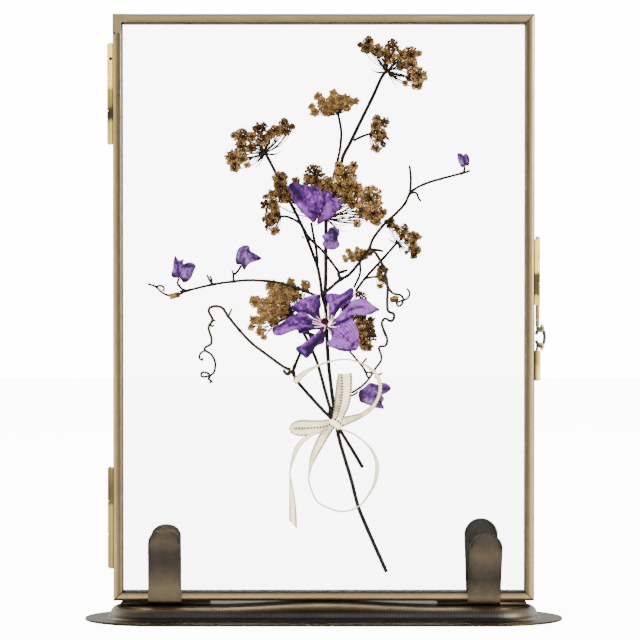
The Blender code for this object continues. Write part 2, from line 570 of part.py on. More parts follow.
def arc(across, depth, radius, start, end, steps):
    """Points of an arc, its angles in degrees."""
    angles = [math.radians(start + (end - start) * step / steps) for step in range(steps + 1)]
    return [(across + radius * math.cos(a), depth + radius * math.sin(a)) for a in angles]


def came_section():
    """A bar's section as (inward, depth) pairs: a channel that opens towards the pane."""
    face, depth = CAME_FACE, LEAF_DEPTH
    slot_end = SLOT_START + SLOT_WIDTH
    outer = arc(CAME_ROUND, CAME_ROUND, CAME_ROUND, 180, 270, 3)
    lip = arc(face - CAME_LIP_ROUND, CAME_LIP_ROUND, CAME_LIP_ROUND, 270, 360, 2)
    return [*outer, *lip, (face, SLOT_START), (CAME_WALL, SLOT_START), (CAME_WALL, slot_end),
            (face, slot_end), (face, depth), (0.0, depth)]


def make_bar(name, edge, side):
    """One mitred bar. side is -1 for the front leaf and 1 for the back one."""
    upright = edge in ("left", "right")
    half = (FRAME_HEIGHT if upright else FRAME_WIDTH) / 2
    mitre = GAP / math.sqrt(2)
    shape = bmesh.new()
    section = came_section()
    near = [shape.verts.new((-(half - inward - mitre), inward, depth)) for inward, depth in section]
    face = shape.faces.new(near)
    made = bmesh.ops.extrude_face_region(shape, geom=[face])
    for part in made["geom"]:
        if isinstance(part, bmesh.types.BMVert):
            part.co.x = half - part.co.y - mitre
    middle = FRAME_BOTTOM + FRAME_HEIGHT / 2
    for vert in shape.verts:
        along, inward, depth = vert.co
        y = side * (HALF_DEPTH - depth)
        place = {
            "bottom": (along, y, FRAME_BOTTOM + inward),
            "top": (along, y, FRAME_BOTTOM + FRAME_HEIGHT - inward),
            "left": (-FRAME_WIDTH / 2 + inward, y, middle + along),
            "right": (FRAME_WIDTH / 2 - inward, y, middle + along),
        }[edge]
        vert.co = place
    shape.normal_update()
    bmesh.ops.triangulate(shape, faces=[f for f in shape.faces if len(f.verts) > 4])
    bmesh.ops.recalc_face_normals(shape, faces=shape.faces)
    return finish(mesh_object(name, shape, PARTS), "brass")


def make_pane(name, side):
    inset = CAME_FACE - GLASS_BITE
    front = HALF_DEPTH - SLOT_START - (SLOT_WIDTH - GLASS) / 2
    ys = sorted((side * front, side * (front - GLASS)))
    half = FRAME_WIDTH / 2 - inset
    low = FRAME_BOTTOM + inset
    pane = box(name, (-half, ys[0], low), (half, ys[1], low + FRAME_HEIGHT - 2 * inset))
    return finish(pane, "glass")


# Hinges and clasp


def make_knuckles(name, side, leaf, low, high, rows):
    """One leaf's half of a hinge: a plate on the frame's outer side with rolled knuckles on it.

    side is -1 on the left and 1 on the right, and leaf is -1 in front and 1 behind.
    """
    flank = side * (FRAME_WIDTH / 2 + GAP)
    axis = flank + side * KNUCKLE_RADIUS
    inner = leaf * (KNUCKLE_RADIUS + GAP)
    outer = leaf * (HALF_DEPTH - 0.4 * MM)
    xs = sorted((flank, flank + side * PLATE_SHEET))
    ys = sorted((inner, outer))
    pieces = [box(name, (xs[0], ys[0], low), (xs[1], ys[1], high))]
    for start, end in rows:
        ys = sorted((0.0, inner + leaf * 0.2 * MM))
        pieces.append(box("lug", (xs[0] + 0.02 * MM, ys[0], start), (xs[1] - 0.02 * MM, ys[1], end)))
        roll = upright_cylinder("roll", axis, 0, start + 0.01 * MM, end - 0.01 * MM, KNUCKLE_RADIUS, 12)
        pieces.append(roll)
    made = fused(name, pieces, "brass")
    bore = upright_cylinder(name + "_bore", axis, 0, low - MM, high + MM, KNUCKLE_BORE, 10)
    cut = made.modifiers.new("Bore", "BOOLEAN")
    cut.operation = "DIFFERENCE"
    cut.solver = "EXACT"
    cut.object = bore
    bpy.context.view_layer.update()
    mesh = evaluated_mesh(made)
    made.modifiers.clear()
    made.data = mesh
    bpy.data.objects.remove(bore, do_unlink=True)
    return finish(made, "brass")


def make_hinge(name, side, low, high):
    """Both halves of a hinge with three knuckles, and nothing in their bore yet."""
    third = (high - low) / 3
    first = (low, low + third - GAP / 2)
    second = (low + third + GAP / 2, high - third - GAP / 2)
    last = (high - third + GAP / 2, high)
    make_knuckles(name + "_front", side, -1, low, high, (first, last))
    make_knuckles(name + "_back", side, 1, low, high, (second,))


def make_hinge_pin(name, side, low, high):
    axis = side * (FRAME_WIDTH / 2 + GAP + KNUCKLE_RADIUS)
    pin = upright_cylinder(name, axis, 0, low - 0.2 * MM, high + 0.2 * MM, HINGE_PIN_RADIUS, 10)
    return finish(pin, "brass")


def eye_course(x, z, upward):
    """A straight start beside an eye and three quarters of the way round it, as (x, y, z) points."""
    turn = -1 if upward else 1
    angles = [math.radians(180 + turn * 270 * step / 12) for step in range(13)]
    return [(x + EYE_RADIUS * math.cos(a), 0.0, z + EYE_RADIUS * math.sin(a)) for a in angles]


def make_clasp():
    """The clasp's knuckles, its long loose pin, the ring that keeps the pin and the plate of the ring."""
    low, high = 99.1 * MM, 119.8 * MM
    make_hinge("clasp", 1, low, high)
    axis = FRAME_WIDTH / 2 + GAP + KNUCKLE_RADIUS
    eye_x = axis + EYE_RADIUS
    pin_eye = 91.75 * MM
    plate_eye = pin_eye - 2 * TETHER_RADIUS
    pin = tube("clasp_pin", [(axis, 0.0, high + 0.9 * MM), (axis, 0.0, pin_eye + 2 * MM),
                             *eye_course(eye_x, pin_eye, False)], (WIRE_RADIUS, WIRE_RADIUS), 8)
    finish(pin, "brass")
    middle = pin_eye - TETHER_RADIUS
    opening = math.radians(20)
    angles = [opening + (2 * math.pi - 2 * opening) * step / 20 for step in range(21)]
    ring = [(eye_x + TETHER_RADIUS * math.cos(a) * math.cos(TETHER_TURN),
             TETHER_RADIUS * math.cos(a) * math.sin(TETHER_TURN) * -1,
             middle + TETHER_RADIUS * math.sin(a)) for a in angles]
    finish(tube("tether_ring", ring, (WIRE_RADIUS, WIRE_RADIUS), 6), "brass")
    flank = FRAME_WIDTH / 2 + GAP
    plate_top = plate_eye - 1.3 * MM
    plate = box("tether_plate", (flank, -HALF_DEPTH + 0.4 * MM, 75.3 * MM),
                (flank + 1.1 * MM, 0.35 * MM, plate_top))
    root = flank + 0.6 * MM
    lug = tube("lug", [(root, 0.0, plate_top - 2 * MM), (root + 0.02 * MM, 0.0, plate_top - 0.4 * MM),
                       *eye_course(eye_x, plate_eye, True)], (WIRE_RADIUS, WIRE_RADIUS), 8)
    fused("tether_plate", [plate, lug], "brass")


# The pressed sprigs


def make_head(place, radius, turn):
    """One small head of a crown, a five-sided button flattened between the panes."""
    shape = bmesh.new()
    rim = [shape.verts.new((math.cos(a), 0, math.sin(a))) for a in (2 * math.pi * i / 5 for i in range(5))]
    for top in (-1, 1):
        tip = shape.verts.new((0, top, 0))
        for first, second in zip(rim, rim[1:] + rim[:1]):
            shape.faces.new((tip, first, second))
    bmesh.ops.recalc_face_normals(shape, faces=shape.faces)
    bmesh.ops.rotate(shape, verts=shape.verts, matrix=Matrix.Rotation(turn, 3, "Y"))
    bmesh.ops.scale(shape, verts=shape.verts, vec=(radius, HEAD_HALF_DEPTH, radius))
    bmesh.ops.translate(shape, verts=shape.verts, vec=place)
    return mesh_object("head", shape, PARTS)


def make_ray(start, end, radius):
    """A thin three-sided spoke from a hub to a head."""
    start, end = Vector(start), Vector(end)
    shape = bmesh.new()
    bmesh.ops.create_cone(shape, cap_ends=True, segments=3, radius1=radius, radius2=radius * 0.8,
                          depth=(end - start).length)
    bmesh.ops.rotate(shape, verts=shape.verts, matrix=(end - start).to_track_quat("Z", "Y").to_matrix())
    bmesh.ops.translate(shape, verts=shape.verts, vec=(start + end) / 2)
    return mesh_object("ray", shape, PARTS)


def crown_pieces(name, layer):
    """The heads of one crown of dried flowers, with a ray to each that no head nearer the hub holds."""
    heads, hub, scale, turn, mirrored = CROWNS[name]
    turn = math.radians(turn)
    x0, z0 = spot(*hub)
    pieces = [make_head((x0, layer, z0), HUB_RADIUS, 0.3)]
    placed = []
    for index, (across, up, radius) in enumerate(sorted(heads, key=lambda head: math.hypot(*head[:2]))):
        if mirrored:
            across = -across
        x = x0 + scale * PIXEL * (across * math.cos(turn) - up * math.sin(turn))
        z = z0 + scale * PIXEL * (across * math.sin(turn) + up * math.cos(turn))
        reach = radius * scale * PIXEL
        if reach < SMALLEST_HEAD:
            continue
        depth = layer + 0.02 * MM * ((index * 5) % 7 - 3) / 3
        pieces.append(make_head((x, depth, z), reach, 0.9 * index))
        if not any(math.hypot(x - a, z - b) < 0.72 * (reach + c) for a, b, c in placed):
            pieces.append(make_ray((x0, layer + 0.01 * MM * (index % 3), z0), (x, depth, z), RAY_RADIUS))
        placed.append((x, z, reach))
    return pieces


def make_lace(name, layer, kind, courses, more_crowns=()):
    """A flower stem with its crowns.

    courses are (points, start radius, end radius), the first crown's own first.
    """
    rods = []
    for index, (points, start, end) in enumerate(courses):
        radii = (start * MM, end * MM)
        sides = 6 if start > 0.3 else 4
        rods.append(stalk(f"{name}_{index}", points, radii, layer + 0.007 * MM * index, 2, sides))
    crowns = [piece for crown in (name, *more_crowns) for piece in crown_pieces(crown, layer)]
    return fused(name, [*rods, *crowns], kind)


def make_vine(name, layer, courses):
    rods = []
    for index, (points, start, end) in enumerate(courses):
        rods.append(stalk(f"{name}_{index}", points, (start * MM, end * MM), layer + 0.006 * MM * index, 2,
                          6 if start > 0.2 else 4))
    return fused(name, rods, "stem")


def make_ribbon():
    """The bow: flat courses laid over each other at the knot, as one body."""
    pieces = []
    for index, (name, points) in enumerate(RIBBON_COURSES.items()):
        thickness = 0.16 * MM + 0.012 * MM * index
        pieces.append(ribbon_course(name, points, RIBBON_LAYER + 0.004 * MM * index, thickness))
    return fused("ribbon_bow", pieces, "ribbon")


def ribbon_course(name, points, layer, thickness):
    course = smooth_course(points, 2)
    left, right = [], []
    for index, (across, down, width) in enumerate(course):
        before = course[max(index - 1, 0)]
        after = course[min(index + 1, len(course) - 1)]
        along = Vector((after[0] - before[0], after[1] - before[1])).normalized()
        left.append((across - along.y * width / 2, down + along.x * width / 2))
        right.append((across + along.y * width / 2, down - along.x * width / 2))
    shape = bmesh.new()
    rows = []
    for pair in zip(left, right):
        row = []
        for across, down in pair:
            x, z = spot(across, down)
            row.append(shape.verts.new((x, layer - thickness / 2, z)))
        rows.append(row)
    faces = [shape.faces.new((a[0], a[1], b[1], b[0])) for a, b in zip(rows, rows[1:])]
    made = bmesh.ops.extrude_face_region(shape, geom=faces)
    moved = [part for part in made["geom"] if isinstance(part, bmesh.types.BMVert)]
    bmesh.ops.translate(shape, verts=moved, vec=(0, thickness, 0))
    bmesh.ops.recalc_face_normals(shape, faces=shape.faces)
    return mesh_object(name, shape, PARTS)


def make_petal(name, outline, layer, thickness=PETAL_THICKNESS, kind="violet"):
    return finish(flat_piece(name, outline, layer, thickness), kind)


def make_small_round(name, across, down, radius, layer, half_depth, kind):
    """A small flattened knob, such as a bloom's heart or a seed."""
    x, z = spot(across, down)
    shape = bmesh.new()
    bmesh.ops.create_uvsphere(shape, u_segments=10, v_segments=6, radius=1.0)
    bmesh.ops.scale(shape, verts=shape.verts, vec=(radius * PIXEL, half_depth, radius * PIXEL))
    bmesh.ops.translate(shape, verts=shape.verts, vec=(x, layer, z))
    return finish(mesh_object(name, shape, PARTS), kind)


def make_sprigs():
    make_lace("lace_top", BACK_LAYER, "dry_head", [(TOP_STEM, 0.22, 0.3)])
    make_lace("lace_side", BACK_LAYER, "dry_head", [(SIDE_STEM, 0.15, 0.15)])
    make_lace("lace_pale", MAIN_LAYER + 1.25 * MM / 2, "pale_head", [(PALE_STEM, 0.2, 0.22)])
    make_lace("lace_left", BACK_LAYER, "dry_head", [(LEFT_STEM, 0.22, 0.28), (BLOOM_STALK, 0.18, 0.2)])
    make_lace("lace_light", BACK_LAYER, "pale_head", [(LIGHT_STEM, 0.2, 0.2)])
    make_lace("lace_dark", BACK_LAYER, "dry_head", [(DARK_STEM, 0.2, 0.2)])
    make_lace("lace_main", MAIN_LAYER, "dry_head", [(MAIN_STEM, 0.35, 0.28)])
    make_lace("lace_inner", MAIN_LAYER, "pale_head", [(INNER_STEM, 0.14, 0.15)])
    make_lace("lace_low", MIDDLE_LAYER, "dry_head", [(LOW_STEM, 0.15, 0.2)])
    make_lace("lace_small", MIDDLE_LAYER, "dry_head", [(SMALL_STEM, 0.17, 0.2), (TIP_STEM, 0.12, 0.12)],
              ("lace_tip",))
    make_vine("stem_second", MIDDLE_LAYER, [(SECOND_STEM, 0.22, 0.3)])
    make_vine("stem_leaning", VINE_LAYER, [(LEANING_STEM, 0.22, 0.3)])
    make_vine("vine_right", VINE_LAYER, [
        (RIGHT_VINE, 0.24, 0.14), (RIGHT_VINE_TIP, 0.17, 0.1), (RIGHT_VINE_HOOK, 0.12, 0.08),
        (RIGHT_VINE_STUB, 0.22, 0.14), (RIGHT_VINE_SPUR, 0.2, 0.12)])
    make_vine("vine_right_fall", VINE_LAYER, [(RIGHT_VINE_FALL, 0.19, 0.14), (CURL, 0.15, 0.09)])
    make_vine("vine_left", MIDDLE_LAYER, [
        (LEFT_VINE, 0.22, 0.08), (LEFT_VINE_STALK, 0.13, 0.12), (LEFT_VINE_TWIG, 0.12, 0.08),
        (LEFT_VINE_TWIG_STALK, 0.14, 0.12)])
    make_vine("vine_falling", VINE_LAYER, [(FALLING_VINE, 0.2, 0.09), (FALLING_VINE_CURL, 0.11, 0.09)])
    for index, outline in enumerate(LARGE_PETALS):
        layer = UNDER_PETAL_LAYER if index % 2 == 0 else OVER_PETAL_LAYER
        make_petal(f"large_petal_{index + 1}", outline, layer)
    make_small_round("large_bloom_heart", 325.7, 323.4, 3.4, OVER_PETAL_LAYER, 0.12 * MM, "heart")
    make_petal("side_petal_left", SIDE_BLOOM["left"], OVER_PETAL_LAYER)
    make_petal("side_petal_right", SIDE_BLOOM["right"], UNDER_PETAL_LAYER)
    make_petal("side_petal_small", SIDE_BLOOM["small"], VINE_LAYER)
    make_petal("small_bloom", SMALL_BLOOM, OVER_PETAL_LAYER)
    make_petal("low_bloom", LOW_BLOOM, UNDER_PETAL_LAYER + 0.04 * MM)
    make_petal("bud_left", LEFT_BUD, VINE_LAYER)
    make_petal("bud_middle", MIDDLE_BUD, VINE_LAYER)
    make_petal("bud_right", RIGHT_BUD, UNDER_PETAL_LAYER)
    make_petal("brown_leaf", BROWN_LEAF, MIDDLE_LAYER, kind="leaf")
    make_petal("brown_sheath", BROWN_NODE, VINE_LAYER, kind="leaf")
    make_small_round("seed", *SEED, VINE_LAYER, 0.2 * MM, "leaf")
    make_ribbon()


def main():
    make_stand()
    left_prongs = (
        {"width": 9.5 * MM, "shift": 0.8 * MM, "drift": -0.1 * MM, "lean": -2, "tip_lean": 62, "hold": 0.5},
        {"width": 9.8 * MM, "shift": -0.7 * MM, "drift": 0.0, "lean": -2, "tip_lean": 50, "hold": 0.5},
    )
    right_prongs = (
        {"width": 10.1 * MM, "shift": 0.0, "drift": 1.0 * MM, "lean": 9, "tip_lean": 46, "hold": 0.2},
        {"width": 10.1 * MM, "shift": 0.2 * MM, "drift": -0.9 * MM, "lean": 6, "tip_lean": 12, "hold": 0.3},
    )
    make_bracket("bracket_left", -49.8 * MM, left_prongs)
    make_bracket("bracket_right", 49.8 * MM, right_prongs)
    for leaf, side in (("front", -1), ("back", 1)):
        for edge in ("top", "bottom", "left", "right"):
            make_bar(f"{leaf}_bar_{edge}", edge, side)
        make_pane(f"{leaf}_pane", side)
    for name, low, high in (("hinge_upper", 149.7 * MM, 181.2 * MM), ("hinge_lower", 16.2 * MM, 47.9 * MM)):
        make_hinge(name, -1, low, high)
        make_hinge_pin(name + "_pin", -1, low, high)
    make_clasp()
    make_sprigs()


clear_scene()
PARTS = new_collection("pressed_flower_frame")
CUTTERS = new_collection("cutters")
CUTTERS.hide_render = True
main()
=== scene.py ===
"""A pressed flower frame on its oval stand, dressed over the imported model.

Aged brass came holds two panes of glass, hinged on the left and pinned on the right. Between them lie
dried wild carrot, clematis and a bow of narrow satin ribbon. Metres, +Z up, the front towards -Y.
"""

import math
import random

import bmesh
import bpy
import numpy as np
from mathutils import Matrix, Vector, noise
from mathutils.geometry import delaunay_2d_cdt


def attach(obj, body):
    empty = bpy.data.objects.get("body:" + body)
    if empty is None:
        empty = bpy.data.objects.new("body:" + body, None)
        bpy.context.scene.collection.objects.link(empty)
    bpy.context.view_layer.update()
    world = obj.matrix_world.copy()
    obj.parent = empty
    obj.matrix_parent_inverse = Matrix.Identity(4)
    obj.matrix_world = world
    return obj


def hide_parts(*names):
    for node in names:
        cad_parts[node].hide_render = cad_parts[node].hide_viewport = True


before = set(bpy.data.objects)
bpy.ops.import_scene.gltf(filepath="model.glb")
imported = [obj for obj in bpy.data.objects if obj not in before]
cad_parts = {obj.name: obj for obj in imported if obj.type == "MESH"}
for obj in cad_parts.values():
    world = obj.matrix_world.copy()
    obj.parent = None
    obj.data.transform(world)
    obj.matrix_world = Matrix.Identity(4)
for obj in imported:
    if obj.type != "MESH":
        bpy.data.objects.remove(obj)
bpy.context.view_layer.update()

MM = 0.001
PIXEL_MM = 0.3145
PIXEL = PIXEL_MM * MM
PICTURE_SIZE = 640
PICTURE_CENTRE = (320.45, 319.1)
PICTURE_MIDDLE = 324.2
PICTURE_FOOT = 600.0
FRAME_BOTTOM = 6.1 * MM
FRAME_WIDTH = 132.4 * MM
FRAME_HEIGHT = 184.2 * MM
FRAME_TOP = FRAME_BOTTOM + FRAME_HEIGHT
HALF_DEPTH = 4.6 * MM
LEAF_DEPTH = 4.4 * MM
CAME_FACE = 2.9 * MM
GAP = 0.3 * MM

# How far each layer of the flowers lies behind the frame's middle.
BACK_LAYER = 1.2 * MM
PALE_LAYER = 1.17 * MM
MAIN_LAYER = 0.55 * MM
MIDDLE_LAYER = -0.1 * MM
VINE_LAYER = -0.7 * MM
UNDER_PETAL_LAYER = -1.08 * MM
OVER_PETAL_LAYER = -1.36 * MM
RIBBON_LAYER = -1.36 * MM

STEM_FINISH, HEAD_FINISH = 0, 1
STALK_BODY = 0.26
GOLDEN_TURN = 2.39996
FULL_TURN = 2 * math.pi


def spot(across, down):
    """The place in the frame's plane of a point of the picture, as (x, z)."""
    return (across - PICTURE_MIDDLE) * PIXEL, FRAME_BOTTOM + (PICTURE_FOOT - down) * PIXEL


# ---------------------------------------------------------------- finishes


class Bench:
    """Places and joins the nodes of one tree."""

    def __init__(self, tree):
        self.tree = tree

    def node(self, kind, values=None, **settings):
        made = self.tree.nodes.new("ShaderNode" + kind)
        for key, value in settings.items():
            setattr(made, key, value)
        for key, value in (values or {}).items():
            self.feed(made.inputs[key], value)
        return made

    def feed(self, socket, value):
        """Links a socket or sets it. A colour may be given without its alpha."""
        if isinstance(value, bpy.types.NodeSocket):
            self.tree.links.new(value, socket)
        else:
            socket.default_value = (*value, 1) if socket.type == "RGBA" and len(value) == 3 else value

    def math(self, operation, first, second=0.0):
        return self.node("Math", {0: first, 1: second}, operation=operation).outputs[0]

    def plus(self, first, second):
        return self.math("ADD", first, second)

    def times(self, first, second):
        return self.math("MULTIPLY", first, second)

    def swing(self, value, reach):
        """A mask as a change, half of reach either way."""
        return self.times(self.math("SUBTRACT", value, 0.5), reach)

    def wave(self, value, pitch):
        return self.math("SINE", self.times(value, FULL_TURN / pitch))

    def blend(self, share, first, second, kind="MIX"):
        return self.node("Mix", {0: share, 6: first, 7: second}, data_type="RGBA", blend_type=kind).outputs[2]

    def ramp(self, value, stops):
        """A colour ramp. A stop's colour may be one number, for a grey."""
        made = self.node("ValToRGB", {0: value})
        elements = made.color_ramp.elements
        while len(elements) < len(stops):
            elements.new(0.5)
        for element, (place, colour) in zip(elements, stops):
            element.position = place
            element.color = (*(colour if isinstance(colour, tuple) else (colour,) * 3), 1)
        return made.outputs[0]

    def span(self, value, low, high, to_low=0.0, to_high=1.0):
        return self.node("MapRange", {0: value, 1: low, 2: high, 3: to_low, 4: to_high}).outputs[0]

    def noise(self, vector, scale, detail=3.0, roughness=0.55):
        return self.node("TexNoise", {"Vector": vector, "Scale": scale, "Detail": detail,
                                      "Roughness": roughness}).outputs["Fac"]

    def parts(self, vector):
        return self.node("SeparateXYZ", {0: vector}).outputs

    def rays(self):
        """The kinds of ray, and the mask of those that carry the picture."""
        rays = self.node("LightPath").outputs
        return rays, self.math("MAXIMUM", rays["Is Camera Ray"], rays["Is Transmission Ray"])


class Finish(Bench):
    """The bench of a new material, its shader's plain values set by name."""

    def __init__(self, name, **plain):
        self.material = bpy.data.materials.new(name)
        self.material.use_nodes = True
        super().__init__(self.material.node_tree)
        self.surface = self.tree.nodes["Principled BSDF"]
        self.put(**plain)

    def put(self, **values):
        for key, value in values.items():
            self.feed(self.surface.inputs[key.replace("_", " ").title().replace("Ior", "IOR")], value)

    def place(self):
        return self.node("TexCoord").outputs["Object"]

    def tone(self):
        return self.node("Attribute", attribute_name="tone").outputs["Fac"]

    def along(self):
        return self.node("UVMap", uv_map="along").outputs[0]

    def group(self, tree, **values):
        return self.node("Group", values, node_tree=tree).outputs

    def relief(self, height, depth_mm, strength=1.0):
        bump = self.node("Bump", {"Height": height, "Strength": strength, "Distance": depth_mm * MM})
        self.put(normal=bump.outputs[0])
        return self.material


def shader_group(build, **inputs):
    """A shader group with named sockets. An input is the kind of its socket, or a number's first value."""
    group = bpy.data.node_groups.new(build.__name__, "ShaderNodeTree")
    for label, value in inputs.items():
        kind = value if isinstance(value, str) else "Float"
        socket = group.interface.new_socket(name=label, in_out="INPUT", socket_type="NodeSocket" + kind)
        if kind == "Float":
            socket.default_value = value
    b = Bench(group)
    start = group.nodes.new("NodeGroupInput").outputs
    end = group.nodes.new("NodeGroupOutput").inputs
    for label, result in build(b, start).items():
        kind = "Color" if label == "Color" else "Float"
        group.interface.new_socket(name=label, in_out="OUTPUT", socket_type="NodeSocket" + kind)
        b.feed(end[label], result)
    return group


def aged_metal(b, given):
    """Patina in soft patches, fine scratches that run one way, and grain."""
    place = given["Vector"]
    cloud = b.noise(place, 55.0, 4.0, 0.6)
    fine = b.noise(place, 620.0, 3.0, 0.6)
    drawn = b.node("VectorMath", {0: place, 1: given["Scratches"]}, operation="MULTIPLY").outputs[0]
    lines = b.span(b.noise(drawn, 1.0, 2.0, 0.7), 0.60, 0.72)
    patch = b.span(b.plus(b.times(cloud, 0.75), b.times(fine, 0.25)), 0.36, 0.66)
    colour = b.blend(b.times(patch, given["Patina"]), given["Bright"], given["Dull"])
    return {"Color": b.blend(b.times(lines, 0.35), colour, given["Bright"]),
            "Roughness": b.plus(b.plus(given["Polish"], b.times(patch, 0.14)), b.times(lines, 0.1)),
            "Height": b.plus(b.times(fine, 0.5), b.times(lines, -0.5))}


def dried_tissue(b, given):
    """Dried plant matter: a tone per point run through its colours, broken up by speckle."""
    speck = b.noise(given["Vector"], 2600.0, 3.0, 0.7)
    drift = b.noise(given["Vector"], 240.0, 2.0, 0.5)
    tone = b.plus(given["Tone"], b.plus(b.swing(speck, given["Speckle"]), b.swing(drift, 0.5)))
    low = b.blend(b.span(tone, 0.0, 0.5), given["Deep"], given["Middle"])
    return {"Color": b.blend(b.span(tone, 0.5, 1.0), low, given["Light"]), "Height": speck}


def petal_veins(b, given):
    """Veins that run from a petal's base to its tip, and the soft mottling between them."""
    wander = b.noise(given["Vector"], 420.0, 2.0, 0.5)
    across = b.plus(b.times(b.parts(given["UV"])[0], given["Lines"]), b.times(wander, 0.9))
    fold = b.math("ABSOLUTE", b.math("SUBTRACT", b.math("FRACT", across), 0.5))
    line = b.span(fold, 0.0, 0.16, 1.0, 0.0)
    mottle = b.noise(given["Vector"], 1150.0, 4.0, 0.7)
    return {"Mask": b.times(line, given["Strength"]), "Mottle": mottle,
            "Height": b.plus(b.times(line, 0.6), b.times(mottle, 0.4))}


AGED_METAL = shader_group(aged_metal, Vector="Vector", Bright="Color", Dull="Color", Patina=0.4,
                          Scratches="Vector", Polish=0.28)
DRIED_TISSUE = shader_group(dried_tissue, Vector="Vector", Tone=0.5, Deep="Color", Middle="Color",
                            Light="Color", Speckle=0.3)
PETAL_VEINS = shader_group(petal_veins, UV="Vector", Vector="Vector", Lines=9.0, Strength=0.35)

# How much of its colour the metal keeps, from its darkest tone, a blue-grey painted shade and dark
# reflection, up to full colour at its painted highlights.
METAL_SHADES = [(0.0, (0.05, 0.053, 0.066)), (0.25, (0.17, 0.185, 0.225)), (0.5, (0.385, 0.38, 0.39)),
                (0.75, (0.68, 0.67, 0.65)), (1.0, 1.0)]
BANDS_REACH = 200
TICK_PITCH = 0.95 * MM


def metal_finish(name, bright, dull, patina, scratches, polish, bands=(), metallic=1.0, edge=1.0,
                 pressed=False):
    """Aged metal with painted light and shade: darkened where its point tone is low, and by height where it
    has bands.
    """
    b = Finish(name, metallic=metallic, specular_tint=(edge, edge, edge))
    place = b.place()
    aged = b.group(AGED_METAL, Vector=place, Bright=bright, Dull=dull, Patina=patina, Scratches=scratches,
                   Polish=polish)
    # The point tone: painted light and shade on the came, brackets and stand, a soft random wear on the
    # fittings, plus a little random mottle.
    painted_light = b.plus(b.tone(), b.swing(b.noise(place, 230.0, 4.0, 0.7), 0.2))
    colour = b.blend(1.0, aged["Color"], b.ramp(painted_light, METAL_SHADES), "MULTIPLY")
    if bands:
        drift = b.swing(b.noise(place, 300.0, 2.0), 1.6 * MM)
        height = b.math("DIVIDE", b.plus(b.parts(place)[2], drift), BANDS_REACH * MM)
        shares = b.ramp(height, [(up / BANDS_REACH, share) for up, share in bands])
        colour = b.blend(1.0, colour, shares, "MULTIPLY")
    # The stand's wall gets its painted reflections and glints.
    if pressed:
        colour = painted_wall_light(b, place, colour)
    b.put(base_color=colour, roughness=aged["Roughness"])
    return b.relief(aged["Height"], 0.012, 0.3)


def painted_wall_light(b, place, colour):
    """Painted light on the stand's wall: a grey band of painted reflection, its fine upright brushing shown
    as a row of painted glints, and a dark painted reflection at its foot.
    """
    x, _, z = b.parts(place)
    wave = b.wave(x, TICK_PITCH)
    # A grey band, painted reflection of the dark room, streaked by the upright brushing.
    grey = b.times(b.span(z, 1.7 * MM, 2.1 * MM), b.span(z, 3.7 * MM, 2.9 * MM))
    colour = b.blend(b.times(grey, b.span(wave, -0.4, 0.5, 0.5, 0.8)), colour, (0.13, 0.127, 0.123))
    # A broken row of bright dashes along the wall: painted glints off the brushing.
    row = b.times(b.span(z, 2.2 * MM, 2.5 * MM), b.span(z, 2.6 * MM, 2.9 * MM, 1.0, 0.0))
    row = b.times(row, b.span(b.math("ABSOLUTE", x), 50 * MM, 58 * MM, 1.0, 0.0))
    row = b.times(row, b.span(b.noise(place, 130.0, 3.0), 0.42, 0.6))
    colour = b.blend(b.times(row, b.span(wave, -0.4, 0.5, 0.05, 0.26)), colour, (0.30, 0.29, 0.28))
    # A dark band at the foot of the wall: painted reflection and shade.
    foot = b.times(b.span(z, 2.1 * MM, 1.8 * MM),
                   b.times(b.span(z, 0.9 * MM, 1.4 * MM), b.span(wave, 0.4, -0.5, 0.5, 0.7)))
    return b.blend(foot, colour, (0.03, 0.03, 0.03))


def tissue_finish(name, deep, middle, light, speckle, roughness=0.8):
    b = Finish(name, roughness=roughness, specular_ior_level=0.08)
    tissue = b.group(DRIED_TISSUE, Vector=b.place(), Tone=b.tone(), Deep=deep, Middle=middle, Light=light,
                     Speckle=speckle)
    b.put(base_color=tissue["Color"])
    return b.relief(tissue["Height"], 0.05)


def petal_finish(name, deep, middle, light, base, lines, strength):
    """Dried violet petal: veins along it, darker folds of painted shade, paler crests of painted highlight,
    and a flush at its base.
    """
    b = Finish(name, roughness=0.62, specular_ior_level=0.1)
    uv, place = b.along(), b.place()
    veins = b.group(PETAL_VEINS, UV=uv, Vector=place, Lines=lines, Strength=strength)
    tone = b.plus(b.tone(), b.swing(veins["Mottle"], 1.7))
    colour = b.ramp(tone, [(0.0, deep), (0.5, middle), (1.0, light)])
    flush = b.span(b.noise(place, 210.0, 3.0, 0.6), 0.47, 0.64)
    pink = tuple(c * k for c, k in zip(light, (0.92, 0.50, 0.72)))
    colour = b.blend(b.times(flush, b.span(tone, 0.2, 0.7, 0.0, 0.45)), colour, pink)
    colour = b.blend(veins["Mask"], colour, deep)
    b.put(base_color=b.blend(b.span(b.parts(uv)[1], 0.22, 0.02), colour, base))
    return b.relief(veins["Height"], 0.09)


def ribbon_finish(name, face, shade, edge):
    """Narrow satin: threads along it, a corded edge with dark stitches, a soft gloss, and painted shade where
    its point tone is low.
    """
    b = Finish(name, roughness=0.42, sheen_weight=0.1, specular_ior_level=0.25)
    across, along, _ = b.parts(b.along())
    stitch = b.wave(along, 0.95)
    border = b.span(b.math("ABSOLUTE", b.math("SUBTRACT", across, 0.5)), 0.27, 0.31)
    threads = b.math("SINE", b.times(across, 95.0))
    ribs = b.wave(along, 0.7)
    soft = b.swing(b.noise(b.place(), 260.0, 2.0, 0.5), 0.4)
    # Painted shade: the face colour gives way to the shade colour where the point tone is low.
    colour = b.blend(b.span(b.plus(b.tone(), soft), 0.0, 1.0), shade, face)
    colour = b.blend(b.times(b.span(ribs, 0.0, 1.0), 0.4), colour, shade)
    b.put(base_color=b.blend(b.times(border, b.span(stitch, -0.45, 0.1, 0.3, 1.0)), colour, edge))
    height = b.plus(b.times(threads, 0.2), b.plus(b.times(ribs, 0.25), b.times(border, stitch)))
    return b.relief(height, 0.02, 0.7)


